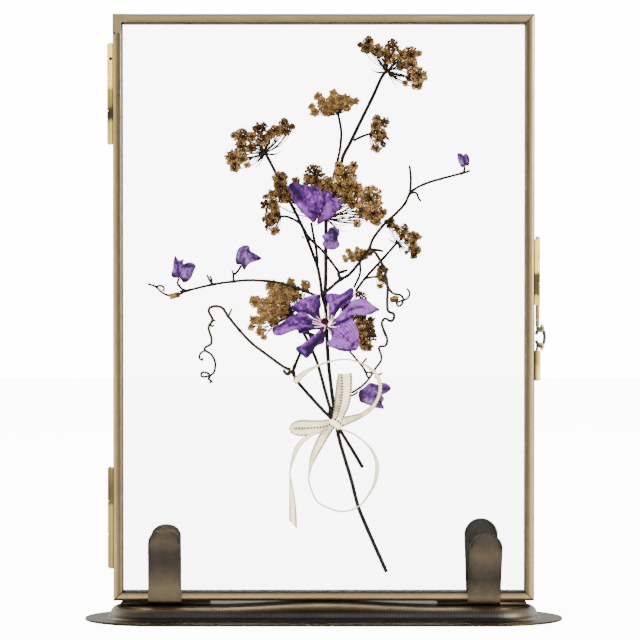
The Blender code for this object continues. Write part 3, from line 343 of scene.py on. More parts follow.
def glass_finish(name):
    """Clear float glass that lets the lamps through to what lies behind it."""
    b = Finish(name, transmission_weight=1.0, roughness=0.0, ior=1.5, base_color=(0.995, 1.0, 0.998))
    b.relief(b.noise(b.place(), 18.0, 3.0, 0.5), 0.01, 0.05)
    clear = b.node("BsdfTransparent", {"Color": (0.97, 0.985, 0.98)})
    _, seen = b.rays()
    mix = b.node("MixShader", {0: b.math("SUBTRACT", 1.0, seen), 1: b.surface.outputs[0],
                               2: clear.outputs[0]})
    b.feed(b.tree.nodes["Material Output"].inputs["Surface"], mix.outputs[0])
    return b.material


CAME_METAL_UPRIGHT = metal_finish("aged_brass_upright", (1.0, 0.72, 0.35), (0.58, 0.40, 0.22), 0.55,
                                  (900.0, 900.0, 60.0), 0.27)
CAME_METAL_LEVEL = metal_finish("aged_brass_level", (1.0, 0.72, 0.35), (0.60, 0.43, 0.245), 0.6,
                                (60.0, 900.0, 900.0), 0.27)
# How bright the fittings are at each height in mm, as the light falls on them.
FITTING_BANDS = (
    (16.2, 0.34), (36, 0.38), (36.6, 0.12), (40.7, 0.1), (47.5, 0.2), (75.3, 1), (79.5, 0.9), (81, 0.55),
    (85.4, 0.6), (99.2, 0.8), (101.4, 0.75), (102.2, 0.07), (108.9, 0.06), (109.6, 0.9), (119.9, 1),
    (149.8, 0.6), (156.4, 0.5), (157.4, 0.03), (160.8, 0.03), (161.8, 0.22), (166.8, 0.3), (167.4, 1),
    (181.3, 1),
)
HINGE_METAL = metal_finish("hinge_brass", (1.0, 0.72, 0.15), (0.86, 0.59, 0.14), 0.5,
                           (700.0, 700.0, 90.0), 0.3, FITTING_BANDS, 0.45)
WIRE_METAL = metal_finish("clasp_wire", (0.62, 0.50, 0.27), (0.32, 0.25, 0.13), 0.5,
                          (500.0, 500.0, 200.0), 0.25, metallic=0.6)
STAND_METAL = metal_finish("stand_bronze", (0.20, 0.138, 0.064), (0.12, 0.092, 0.058), 0.6,
                           (50.0, 700.0, 700.0), 0.36, edge=0.8, pressed=True)
LAP_METAL = metal_finish("lap_brass", (0.20, 0.138, 0.068), (0.13, 0.088, 0.043), 0.6,
                         (60.0, 900.0, 60.0), 0.3, metallic=0.5)
BRACKET_METAL = metal_finish("bracket_bronze", (0.67, 0.51, 0.30), (0.375, 0.312, 0.215), 0.5,
                             (60.0, 60.0, 1500.0), 0.30, edge=0.5)
GLASS = glass_finish("clear_float_glass")
DARK_STEM = tissue_finish("dark_dry_stem", (0.003, 0.0018, 0.0007), (0.010, 0.0062, 0.003),
                          (0.05, 0.032, 0.015), 0.4, 0.75)
OLIVE_STEM = tissue_finish("olive_dry_tendril", (0.006, 0.0045, 0.002), (0.021, 0.015, 0.0075),
                           (0.075, 0.056, 0.029), 0.45, 0.75)
CARROT_HEAD = tissue_finish("dry_carrot_flower", (0.0045, 0.0016, 0.0005), (0.066, 0.0285, 0.0075),
                            (0.43, 0.245, 0.085), 0.4)
PALE_CARROT_HEAD = tissue_finish("pale_dry_carrot_flower", (0.012, 0.0048, 0.0014), (0.115, 0.057, 0.0175),
                                 (0.36, 0.21, 0.072), 0.35)
VIOLET = petal_finish("violet_petal", (0.0070, 0.0006, 0.0165), (0.041, 0.0062, 0.076),
                      (0.175, 0.060, 0.255), (0.028, 0.0018, 0.022), 12.0, 0.8)
VIOLET_BUD = petal_finish("violet_bud_petal", (0.0080, 0.0014, 0.0170), (0.046, 0.0145, 0.078),
                          (0.165, 0.078, 0.235), (0.012, 0.0015, 0.014), 7.0, 0.65)
HEART = tissue_finish("dark_red_heart", (0.006, 0.0006, 0.001), (0.030, 0.002, 0.005),
                      (0.12, 0.016, 0.03), 0.5)
FILAMENT = tissue_finish("pale_filament", (0.10, 0.02, 0.08), (0.42, 0.20, 0.29), (0.80, 0.56, 0.58), 0.2)
DRY_LEAF = tissue_finish("dry_leaf", (0.012, 0.005, 0.001), (0.075, 0.034, 0.007), (0.20, 0.11, 0.032), 0.5)
SATIN = ribbon_finish("cream_satin", (1.0, 0.85, 0.48), (0.22, 0.165, 0.085), (0.012, 0.009, 0.005))


# ---------------------------------------------------------------- making pieces


def put_down():
    """Nothing selected, and no mesh open."""
    if bpy.context.mode != "OBJECT":
        bpy.ops.object.mode_set(mode="OBJECT")
    bpy.ops.object.select_all(action="DESELECT")


def pick_up(piece):
    put_down()
    piece.select_set(True)
    bpy.context.view_layer.objects.active = piece


def settle(piece, slot, *nodes, angle=None):
    """Bakes a piece's place into its mesh, smooths it by angle if asked, hangs it on the root and hides the
    imported parts it stands for.
    """
    pick_up(piece)
    bpy.ops.object.transform_apply(location=True, rotation=True, scale=True)
    if angle is not None:
        bpy.ops.object.shade_smooth_by_angle(angle=math.radians(angle))
    put_down()
    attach(piece, "root")
    if nodes:
        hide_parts(*nodes)


def finish_modifiers(piece):
    pick_up(piece)
    for modifier in list(piece.modifiers):
        bpy.ops.object.modifier_apply(modifier=modifier.name)
    put_down()


def thickened(piece, thickness, offset=0, even=False):
    sheet = piece.modifiers.new("Sheet", "SOLIDIFY")
    sheet.thickness = thickness
    sheet.offset = offset
    sheet.use_even_offset = even


def eased(piece, width, segments=3, sharpest=None):
    """Rounds a piece's edges, or only those that turn by more than sharpest degrees."""
    rim = piece.modifiers.new("Rim", "BEVEL")
    rim.width = width
    rim.segments = segments
    if sharpest:
        rim.limit_method = "ANGLE"
        rim.angle_limit = math.radians(sharpest)
    finish_modifiers(piece)


def opened(name, add, **sizes):
    """A new primitive in edit mode, with its shape."""
    put_down()
    add(location=(0, 0, 0), **sizes)
    made = bpy.context.active_object
    made.name = name
    bpy.ops.object.mode_set(mode="EDIT")
    return made, bmesh.from_edit_mesh(made.data)


def drawn_out(piece):
    """The shape with its selection extruded in place, and the fresh points."""
    bmesh.update_edit_mesh(piece.data)
    bpy.ops.mesh.extrude_region_move()
    shape = bmesh.from_edit_mesh(piece.data)
    return shape, [v for v in shape.verts if v.select]


def closed_up(faces_out=True):
    """Ends edit mode, with the faces turned outwards."""
    if faces_out:
        bpy.ops.mesh.select_all(action="SELECT")
        bpy.ops.mesh.normals_make_consistent(inside=False)
    bpy.ops.object.mode_set(mode="OBJECT")


def ring_order(shape):
    return sorted(shape.verts, key=lambda v: math.atan2(v.co.y, v.co.x) % FULL_TURN)


def painted(piece, tone_at):
    """Gives each point its tone, from its place."""
    tone = piece.data.attributes.get("tone") or piece.data.attributes.new("tone", "FLOAT", "POINT")
    for vert, value in zip(piece.data.vertices, tone.data):
        value.value = float(tone_at(vert.co))


def laid_along(piece, places):
    """The map across and along a petal or ribbon, one place per point."""
    uv = piece.data.uv_layers.new(name="along")
    for loop in piece.data.loops:
        uv.data[loop.index].uv = places[loop.vertex_index]


def only_finish(piece, material):
    piece.data.materials.clear()
    piece.data.materials.append(material)


def grid_faces(rows, columns):
    """The faces of a net with this many cells each way."""
    wide = columns + 1
    return [(j * wide + i, j * wide + i + 1, (j + 1) * wide + i + 1, (j + 1) * wide + i)
            for j in range(rows) for i in range(columns)]


def smooth_course(points, steps):
    """Points along a smooth curve through the given ones, each a tuple of any length."""
    padded = [points[0], *points, points[-1]]
    course = []
    for before, start, end, after in zip(padded, padded[1:], padded[2:], padded[3:]):
        for step in range(steps):
            t = step / steps
            course.append(tuple(
                0.5 * (2 * b + (c - a) * t + (2 * a - 5 * b + 4 * c - d) * t ** 2
                       + (3 * b - a - 3 * c + d) * t ** 3)
                for a, b, c, d in zip(before, start, end, after)))
    course.append(tuple(points[-1]))
    return course


class Heap:
    """Points and faces gathered for one grown piece, with a finish per face and a tone per point."""

    def __init__(self):
        self.points = []
        self.faces = []
        self.finishes = []
        self.tones = []

    def add(self, points, faces, finish, tones):
        start = len(self.points)
        self.points.extend(tuple(p) for p in points)
        self.faces.extend(tuple(start + i for i in face) for face in faces)
        self.finishes.extend([finish] * len(faces))
        self.tones.extend(tones)

    def rod(self, points, radii, sides=8, finish=0, tone=0.5):
        """A round rod through points, closed at both ends."""
        points = [Vector(p) for p in points]
        last = len(points) - 1
        side = None
        rings = []
        for i, point in enumerate(points):
            along = (points[min(i + 1, last)] - points[max(i - 1, 0)]).normalized()
            if side is None:
                side = along.cross(Vector((0.13, 1, 0.07))).normalized()
            side = (side - along * side.dot(along)).normalized()
            up = along.cross(side)
            for k in range(sides):
                turn = FULL_TURN * k / sides
                rings.append(point + (side * math.cos(turn) + up * math.sin(turn)) * radii[i])
        faces = [(i * sides + k, i * sides + (k + 1) % sides, (i + 1) * sides + (k + 1) % sides,
                  (i + 1) * sides + k) for i in range(last) for k in range(sides)]
        faces.append(tuple(range(sides - 1, -1, -1)))
        faces.append(tuple(last * sides + k for k in range(sides)))
        tones = [tone + 0.2 * noise.noise(Vector(p) * 400) for p in rings]
        self.add(rings, faces, finish, tones)

    def stalk(self, course, radii, layer, steps=6, sides=8, finish=0, knots=(), tone=0.5):
        """A rod along a course of the picture, its radius in mm, thicker at its knots."""
        course = smooth_course([(*p, 0.0) if len(p) == 2 else p for p in course], steps)
        centres, widths = [], []
        for i, (across, down, forward) in enumerate(course):
            x, z = spot(across, down)
            share = i / (len(course) - 1)
            width = radii[0] + (radii[1] - radii[0]) * share
            for knot in knots:
                swell = knot[2] if len(knot) > 2 else 0.7
                width *= 1 + swell * math.exp(-((across - knot[0]) ** 2 + (down - knot[1]) ** 2) / 3.0)
            width *= 1 + 0.12 * noise.noise(Vector((across * 0.35, down * 0.35, 3.0)))
            centres.append((x, layer - forward * MM, z))
            widths.append((width + STALK_BODY) * MM)
        self.rod(centres, widths, sides, finish, tone)

    def piece(self, name, *materials):
        mesh = bpy.data.meshes.new(name)
        mesh.from_pydata(self.points, [], self.faces)
        for material in materials:
            mesh.materials.append(material)
        mesh.polygons.foreach_set("material_index", self.finishes)
        mesh.polygons.foreach_set("use_smooth", [True] * len(self.faces))
        tone = mesh.attributes.new("tone", "FLOAT", "POINT")
        tone.data.foreach_set("value", self.tones)
        mesh.update()
        made = bpy.data.objects.new(name, mesh)
        bpy.context.scene.collection.objects.link(made)
        return made


# ---------------------------------------------------------------- stand

STAND_LENGTH = 150.6 * MM
STAND_DEPTH = 46.0 * MM
STAND_END = 18.0 * MM
STAND_SHEET = 0.7 * MM
STAND_RISE = 4.7 * MM
STAND_CROWN = 1.1 * MM
CROWN_REACH = 35.0 * MM
FLANGE_WIDTH = 6.6 * MM
SHOULDER_WIDTH = 4.7 * MM
SHEET_RIM = 0.14 * MM
SHARPEST = 50

# The shoulder's rise: (share of its width, share of its height, tone). The tone is painted light: a painted
# highlight high on the shoulder and painted shade on the wall below it.
SHOULDER = ((0, 0, 0.4), (0.05, 0.012, 0.34), (0.10, 0.04, 0.28), (0.16, 0.10, 0.24), (0.22, 0.20, 0.22),
            (0.27, 0.34, 0.22), (0.31, 0.48, 0.24), (0.36, 0.61, 0.3), (0.43, 0.73, 0.45), (0.52, 0.83, 0.75),
            (0.63, 0.905, 0.95), (0.76, 0.96, 0.95), (0.88, 0.99, 0.75), (1, 1, 0.5))


def oval(inset, arc_steps=22, straight_steps=40):
    """The stand's outline drawn in by inset, counterclockwise from the right end."""
    half_length = STAND_LENGTH / 2 - inset
    half_depth = STAND_DEPTH / 2 - inset
    end = max(STAND_END - inset, half_depth)
    start = half_length - end
    quarter = [(start + end * math.cos(a), half_depth * math.sin(a))
               for a in (math.pi / 2 * step / arc_steps for step in range(arc_steps + 1))]
    straight = [(start * (1 - 2 * step / straight_steps), half_depth) for step in range(1, straight_steps)]
    top = quarter + straight + [(-x, y) for x, y in reversed(quarter)]
    return top + [(x, -y) for x, y in reversed(top[1:-1])]


def crown_at(x):
    if abs(x) >= CROWN_REACH:
        return 0.0
    return STAND_CROWN * (1 + math.cos(math.pi * x / CROWN_REACH)) / 2


def stand_rings():
    """(inset, rise as a share, tone) from the rim to the plateau, the tone painted light and shade, low on
    the plateau.
    """
    foot, shoulder = FLANGE_WIDTH, SHOULDER_WIDTH
    return [(0.0, 0.0, 0.5), (0.25 * MM, 0.0, 0.42), (1.5 * MM, 0.0, 0.4), (foot * 0.6, 0.0, 0.36),
            *((foot + share * shoulder, rise, tone) for share, rise, tone in SHOULDER),
            (foot + 1.5 * shoulder, 1.0, 0.45), (foot + 2.4 * shoulder, 1.0, 0.35),
            (foot + 3.3 * shoulder, 1.0, 0.3)]


def make_stand():
    """The pressed oval stand: a ring drawn inwards step by step, filled, then given its thickness."""
    rings = stand_rings()
    outlines = [oval(inset) for inset, _, _ in rings]
    count = len(outlines[0])
    stand, shape = opened("stand_sheet", bpy.ops.mesh.primitive_circle_add, vertices=count, radius=1.0)
    bpy.ops.mesh.select_mode(type="VERT")
    row = ring_order(shape)
    lift = STAND_RISE - STAND_SHEET
    for number, ((_, rise, _), outline) in enumerate(zip(rings, outlines)):
        if number:
            places = {tuple(round(c, 7) for c in v.co): i for i, v in enumerate(row)}
            shape, fresh = drawn_out(stand)
            row = sorted(fresh, key=lambda v: places[tuple(round(c, 7) for c in v.co)])
        for vert, (x, y) in zip(row, outline):
            vert.co = (x, y, STAND_SHEET + rise * (lift + crown_at(x)))
    for i in range(count // 2):
        shape.faces.new(list(dict.fromkeys([row[i], row[i + 1], row[-i - 1], row[-i]])))
    bmesh.ops.recalc_face_normals(shape, faces=shape.faces)
    bmesh.update_edit_mesh(stand.data)
    closed_up(faces_out=False)
    if sum(face.normal.z for face in stand.data.polygons) < 0:
        stand.data.flip_normals()
    thickened(stand, STAND_SHEET, -1, even=True)
    eased(stand, SHEET_RIM, sharpest=SHARPEST)
    insets, _, tones = zip(*rings)

    def painted_light(co):
        """The painted light on the bronze by how far in a point lies: a painted highlight along the upper
        shoulder, lighter at the rim, and painted shade on the wall and plateau.
        """
        past = max(0.0, abs(co.x) - (STAND_LENGTH / 2 - STAND_END)) / STAND_END
        reach = math.hypot(past, abs(co.y) / (STAND_DEPTH / 2))
        breadth = STAND_END if past > 0.5 else STAND_DEPTH / 2
        return np.interp((1 - min(1.0, reach)) * breadth, insets, tones)

    painted(stand, painted_light)
    only_finish(stand, STAND_METAL)
    settle(stand, "stand", "stand_base", angle=35)


# ---------------------------------------------------------------- brackets

BRACKET_SHEET = 0.6 * MM
BRACKET_PLATE = 28.0 * MM
PRONG_REACH = 5.6 * MM
PRONG_BEND = 1.0 * MM
PRONG_CELLS = 8
PRONG_STRAIGHT = 10 / 12

# Each bracket's middle, then its front and back prong: width, shift, drift and length in mm, the lean at its
# foot and tip, where the lean starts to change, and its tones from foot to tip, painted reflection and shade
# on the bent sheet.
# The back prongs stand behind the frame: their low tones are painted shade.
BACK_BANDS = (0.05, 0.05, 0.06, 0.08, 0.1, 0.12, 0.14, 0.16, 0.18, 0.4)
BRACKETS = {
    "left": (-49.8, (10.5, -0.1, -0.1, 21.2, -2, 26, 0.68,
                     (0.1, 0.08, 0.56, 0.64, 0.42, 0.25, 0.24, 0.42, 0.46, 0.5)),
             (9.6, -0.35, 0.1, 23.3, -2, 44, 0.55, BACK_BANDS)),
    "right": (49.8, (10.3, 0.5, 0.6, 20.1, 7, 20, 0.5, (0.9, 1.1, 0.9, 0.4, 0.2, 0.3, 0.42, 0.3, 0.3, 0.2)),
              (10.7, 0.7, -0.5, 24.0, 6, 12, 0.3, BACK_BANDS)),
}
BAND_PLACES = (0.0, 0.07, 0.15, 0.3, 0.42, 0.55, 0.68, 0.8, 0.9, 1.0)


def prong_rows(width, drift, length, lean, tip_lean, hold):
    """(outward, up, half width, drift) of each row across a prong, from the plate to its round tip."""
    half = width / 2
    rows = [(0.0, 0.0, half, 0.0)]
    outward = up = done = 0.0
    last = math.radians(90 - lean)
    bend_steps, rise_steps = 8, 26
    for step in range(bend_steps):
        angle = last * (step + 0.5) / bend_steps
        run = PRONG_BEND * last / bend_steps
        outward += run * math.cos(angle)
        up += run * math.sin(angle)
        rows.append((outward, up, half, 0.0))
    straight = length * PRONG_STRAIGHT
    places = [(straight * (step + 1) / rise_steps, half, drift * (step + 1) / rise_steps)
              for step in range(rise_steps)]
    for angle in map(math.radians, (10, 20, 30, 40, 50, 59, 67, 74, 80, 85, 89)):
        places.append((straight + half * math.sin(angle), half * math.cos(angle), drift))
    for reach, wide, moved in places:
        share = max(0.0, ((done + reach) / 2 / length - hold) / (1 - hold))
        turned = math.radians(lean + (tip_lean - lean) * share * share * (3 - 2 * share))
        run = reach - done
        outward, up, done = outward + run * math.sin(turned), up + run * math.cos(turned), reach
        rows.append((outward, up, wide, moved))
    return rows


def make_bracket(side_name, middle, *prongs):
    """A plate with a round-ended prong bent up from its front and its back edge."""
    heap = Heap()
    middle *= MM
    low = STAND_RISE + GAP + BRACKET_SHEET / 2
    edge = PRONG_REACH - PRONG_BEND
    cells = PRONG_CELLS
    edges = []
    for width, shift, *_ in prongs:
        width, shift = width * MM, shift * MM
        start = middle + shift - width / 2
        edges.append([middle - BRACKET_PLATE / 2, *(start + width * i / cells for i in range(cells + 1)),
                      middle + BRACKET_PLATE / 2])
    plate = [(x0 + (x1 - x0) * j / 4, -edge + 2 * edge * j / 4, low)
             for j in range(5) for x0, x1 in zip(*edges)]
    # The plate under the frame gets a low tone, painted shade.
    heap.add(plate, grid_faces(4, cells + 2), 0, [0.2] * len(plate))
    for side, (width, shift, drift, length, lean, tip_lean, hold, bands) in zip((-1, 1), prongs):
        rows = prong_rows(width * MM, drift * MM, length * MM, lean, tip_lean, hold)
        points, tones = [], []
        for index, (outward, up, half, moved) in enumerate(rows):
            tone = np.interp(index / (len(rows) - 1), BAND_PLACES, bands)
            for i in range(cells + 1):
                x = middle + shift * MM + moved - half + 2 * half * i / cells
                points.append((x, side * (edge + outward), low + up))
                # Painted shade dims the prong's side edges, more near its tip, and its last rows, over the
                # glints there.
                rim = max(0.0, abs(2 * i / cells - 1) - 0.7) / 0.3
                tones.append(float(tone) - (0.3 if index > len(rows) - 12 else 0.1) * rim
                             - (0.9 if index > len(rows) - 3 else 0.0))
        heap.add(points, grid_faces(len(rows) - 1, cells), 0, tones)
    bracket = heap.piece(f"bracket_{side_name}_sheet", BRACKET_METAL)
    pick_up(bracket)
    bpy.ops.object.mode_set(mode="EDIT")
    bpy.ops.mesh.select_all(action="SELECT")
    bpy.ops.mesh.remove_doubles(threshold=0.004 * MM)
    closed_up()
    thickened(bracket, BRACKET_SHEET, even=True)
    eased(bracket, SHEET_RIM, sharpest=SHARPEST)
    settle(bracket, "bracket", f"bracket_{side_name}", angle=35)


# ---------------------------------------------------------------- the brass came

# How bright each bar is across its face, from outside to inside, as (places, shares): the painted highlights
# and painted shade of its rounded face.
CAME_SHADES = {
    "left": ((0, 0.06, 0.22, 0.3, 0.4, 0.5, 0.6, 0.7, 0.8, 0.88, 0.93, 1),
             (0.7, 1.4, 1.3, 0.95, 0.78, 0.62, 0.52, 0.36, 0.6, 0.6, 0.4, 0.3)),
    "right": ((0, 0.08, 0.16, 0.22, 0.3, 0.4, 0.5, 0.6, 0.7, 0.8, 0.9, 1),
              (0.6, 0.62, 0.52, 0.62, 1.3, 1.4, 0.85, 0.58, 0.47, 0.42, 0.42, 0.4)),
    "bottom": ((0, 0.08, 0.2, 0.45, 0.65, 0.82, 0.9, 1), (0.6, 1.2, 1.3, 1.1, 0.8, 0.5, 0.05, 0.0)),
    "top": ((0, 0.08, 0.2, 0.4, 0.6, 0.8, 0.92, 1), (0.0, 0.3, 0.9, 1.1, 1.0, 0.8, 0.4, 0.05)),
}
MITRE = 0.03 * MM
SEAM = 0.17 * MM


def arc(across, depth, radius, start, end, steps):
    angles = [math.radians(start + (end - start) * step / steps) for step in range(steps + 1)]
    return [(across + radius * math.cos(a), depth + radius * math.sin(a)) for a in angles]


def came_section():
    """A bar's section as (inward, depth): rounded outside, a channel for the pane inside."""
    face, depth = CAME_FACE, LEAF_DEPTH
    wall, slot_start, slot_end = 1.0 * MM, 0.7 * MM, 3.1 * MM
    outer = arc(1.0 * MM, 1.0 * MM, 1.0 * MM, 180, 270, 10)
    lip = arc(face - 0.5 * MM, 0.5 * MM, 0.5 * MM, 270, 350, 6)
    back = arc(0.25 * MM, depth - 0.25 * MM, 0.25 * MM, 90, 180, 4)
    flat = [(across * MM, 0.0) for across in (1.3, 1.6, 1.9, 2.2)]
    return [*outer, *flat, *lip, (face - 0.03 * MM, slot_start), (wall, slot_start), (wall, slot_end),
            (face, slot_end), (face, depth), *back]


def make_bar(leaf, edge, side):
    """One mitred bar, drawn out from its section."""
    section = came_section()
    upright = edge in ("left", "right")
    half = (FRAME_HEIGHT if upright else FRAME_WIDTH) / 2
    bar, shape = opened(f"{leaf}_came_{edge}", bpy.ops.mesh.primitive_circle_add, vertices=len(section),
                        radius=1.0, fill_type="NGON")
    for vert, (inward, depth) in zip(ring_order(shape), section):
        vert.co = (-(half - inward - MITRE), inward, depth)
    for share in (0.0010, 0.0020, *(step / 24 for step in range(1, 24)), 0.9980, 0.9990, 1.0):
        shape, fresh = drawn_out(bar)
        for vert in fresh:
            end = half - vert.co.y - MITRE
            vert.co.x = -end + 2 * end * share
    bottom = FRAME_BOTTOM + FRAME_HEIGHT / 2
    for vert in shape.verts:
        along, inward, depth = vert.co
        y = side * (HALF_DEPTH - depth)
        waver = 0.02 * MM * noise.noise(Vector((along * 60, side * 3.0, len(edge))))
        vert.co = {
            "bottom": (along, y, FRAME_BOTTOM + inward + waver),
            "top": (along, y, FRAME_TOP - inward + waver),
            "left": (-FRAME_WIDTH / 2 + inward + waver, y, bottom + along),
            "right": (FRAME_WIDTH / 2 - inward + waver, y, bottom + along),
        }[edge]
    closed_up()

    # Each point's painted highlight or shade across the bar, and a dark line along the mitre seam.
    def shade(co):
        inward = {"bottom": co.z - FRAME_BOTTOM, "top": FRAME_TOP - co.z,
                  "left": co.x + FRAME_WIDTH / 2, "right": FRAME_WIDTH / 2 - co.x}[edge]
        seam = half - inward - abs(co.z - bottom if upright else co.x)
        return float(np.interp(inward / CAME_FACE, *CAME_SHADES[edge])) * (0.1 if seam < SEAM else 1.0)

    painted(bar, shade)
    only_finish(bar, CAME_METAL_UPRIGHT if upright else CAME_METAL_LEVEL)
    settle(bar, "came", f"{leaf}_bar_{edge}", angle=30)


def make_corner_lap():
    """The folded end of the came strip, lapped over the front leaf's top left corner, with its dot."""
    right, low = spot(128.0, 33.7)
    left, top = -FRAME_WIDTH / 2 + 0.05 * MM, FRAME_TOP - 0.05 * MM
    inner = CAME_FACE - 0.25 * MM
    lap, shape = opened("corner_lap", bpy.ops.mesh.primitive_plane_add, size=1.0)
    y = -HALF_DEPTH - 0.03 * MM
    corners = sorted(shape.verts, key=lambda v: (v.co.y, v.co.x))
    for vert, place in zip(corners, ((left, y, top - inner), (left + inner, y, top - inner), (left, y, top),
                                     (left + inner, y, top))):
        vert.co = place
    bmesh.update_edit_mesh(lap.data)
    for axis, line, far in ((0, left + inner, right), (2, top - inner, low)):
        bpy.ops.mesh.select_all(action="DESELECT")
        bpy.ops.mesh.select_mode(type="EDGE")
        shape = bmesh.from_edit_mesh(lap.data)
        for e in shape.edges:
            e.select_set(all(abs(v.co[axis] - line) < 1e-6 and v.co[0] < left + inner + 1e-6
                             for v in e.verts))
        for vert in drawn_out(lap)[1]:
            vert.co[axis] = far
    bmesh.update_edit_mesh(lap.data)
    closed_up(faces_out=False)
    thickened(lap, 0.22 * MM)
    eased(lap, 0.08 * MM)
    painted(lap, lambda co: 0.95)
    dot = Heap()
    x, z = spot(115.6, 34.0)
    dot.rod([(x, y, z), (x, y - 0.2 * MM, z)], [0.34 * MM, 0.3 * MM], 12, 0, -0.2)
    lap = joined("corner_lap", [lap, dot.piece("dot", LAP_METAL)])
    only_finish(lap, LAP_METAL)
    settle(lap, "came", angle=30)


# ---------------------------------------------------------------- hinges and clasp

KNUCKLE_RADIUS = 0.85 * MM
KNUCKLE_GAP = 0.08 * MM
PLATE_SHEET = 0.5 * MM
BAR_SIDE = FRAME_WIDTH / 2
FLANK = BAR_SIDE + GAP
AXIS = FLANK + KNUCKLE_RADIUS
TOUCH = 0.005 * MM
WIRE_SIDES = 14


def plate_box(name, low, high, bevel=0.12 * MM):
    """A small flat plate with eased edges."""
    put_down()
    bpy.ops.mesh.primitive_cube_add(size=1.0, location=(Vector(low) + Vector(high)) / 2)
    made = bpy.context.active_object
    made.name = name
    made.scale = Vector(high) - Vector(low)
    bpy.ops.object.transform_apply(location=False, rotation=False, scale=True)
    eased(made, bevel)
    return made


def barrel(name, x, low, high, radius=KNUCKLE_RADIUS):
    """A rolled knuckle with eased, slightly sunken ends."""
    made, shape = opened(name, bpy.ops.mesh.primitive_cylinder_add, vertices=32, radius=radius,
                         depth=high - low)
    for face in shape.faces:
        face.select_set(abs(face.normal.z) > 0.9)
    bmesh.update_edit_mesh(made.data)
    bpy.ops.mesh.inset(thickness=radius * 0.5, depth=0)
    bpy.ops.transform.resize(value=(1, 1, 0.96))
    closed_up(faces_out=False)
    made.location = (x, 0, (low + high) / 2)
    eased(made, 0.1 * MM, 2, SHARPEST)
    return made


def joined(name, pieces):
    pick_up(pieces[0])
    for piece in pieces[1:]:
        piece.select_set(True)
    bpy.ops.object.join()
    made = bpy.context.active_object
    made.name = name
    put_down()
    return made


def fitting(piece, node, tone_at=None):
    """Gives a brass fitting its finish and its tone, a soft wear unless one is given, and hides the imported
    part it replaces.
    """
    only_finish(piece, HINGE_METAL)
    painted(piece, tone_at or (lambda co: 0.7 + 0.3 * (0.5 + 0.5 * noise.noise(co * 320))))
    settle(piece, "fittings", node, angle=35)


def make_hinge_leaf(name, side, leaf, low, high, rows):
    inner = leaf * (KNUCKLE_RADIUS + GAP)
    near, far = sorted((side * (BAR_SIDE + TOUCH), side * FLANK + side * PLATE_SHEET))
    front, back = sorted((inner, leaf * (HALF_DEPTH - 0.4 * MM)))
    pieces = [plate_box(name, (near, front, low), (far, back, high))]
    for start, end in rows:
        front, back = sorted((leaf * 0.1 * MM, inner + leaf * 0.2 * MM))
        pieces.append(plate_box("lug", (near + 0.03 * MM, front, start), (far - 0.03 * MM, back, end),
                                0.05 * MM))
        pieces.append(barrel("roll", side * AXIS, start + 0.01 * MM, end - 0.01 * MM))
    fitting(joined(name + "_leaf", pieces), name)


def make_leaves(word, side, low, high):
    """A front leaf with two knuckles and a back leaf with the one between them."""
    third, gap = (high - low) / 3, KNUCKLE_GAP / 2
    make_hinge_leaf(word + "_front", side, -1, low, high,
                    ((low, low + third - gap), (high - third + gap, high)))
    make_hinge_leaf(word + "_back", side, 1, low, high, ((low + third + gap, high - third - gap),))


def make_hinges():
    for word, low, high in (("hinge_upper", 149.7 * MM, 181.2 * MM), ("hinge_lower", 16.2 * MM, 47.9 * MM)):
        make_leaves(word, -1, low, high)
        fitting(barrel(word + "_rod", -AXIS, low - 0.3 * MM, high + 0.3 * MM, 0.42 * MM), word + "_pin")
    x, z = spot(112.0, 59.1)
    # A dark rod stands for the small hole in the hinge leaf: its darkness is painted shade.
    hole_shade = Heap()
    hole_shade.rod([(x, -KNUCKLE_RADIUS + 0.2 * MM, z), (x, -HALF_DEPTH + 0.35 * MM, z)], [0.52 * MM, 0.5 * MM],
             12, 0, -0.3)
    settle(hole_shade.piece("hinge_dot", LAP_METAL), "fittings", angle=35)


def wire(name, points, radius, tone):
    heap = Heap()
    heap.rod(points, radius if isinstance(radius, list) else [radius] * len(points), WIRE_SIDES, 0, tone)
    return heap.piece(name, WIRE_METAL)


def eye_course(x, z, upward, radius=0.9 * MM, steps=30):
    turn = -1 if upward else 1
    angles = [math.radians(180 + turn * 270 * step / steps) for step in range(steps + 1)]
    return [(x + radius * math.cos(a), 0.0, z + radius * math.sin(a)) for a in angles]


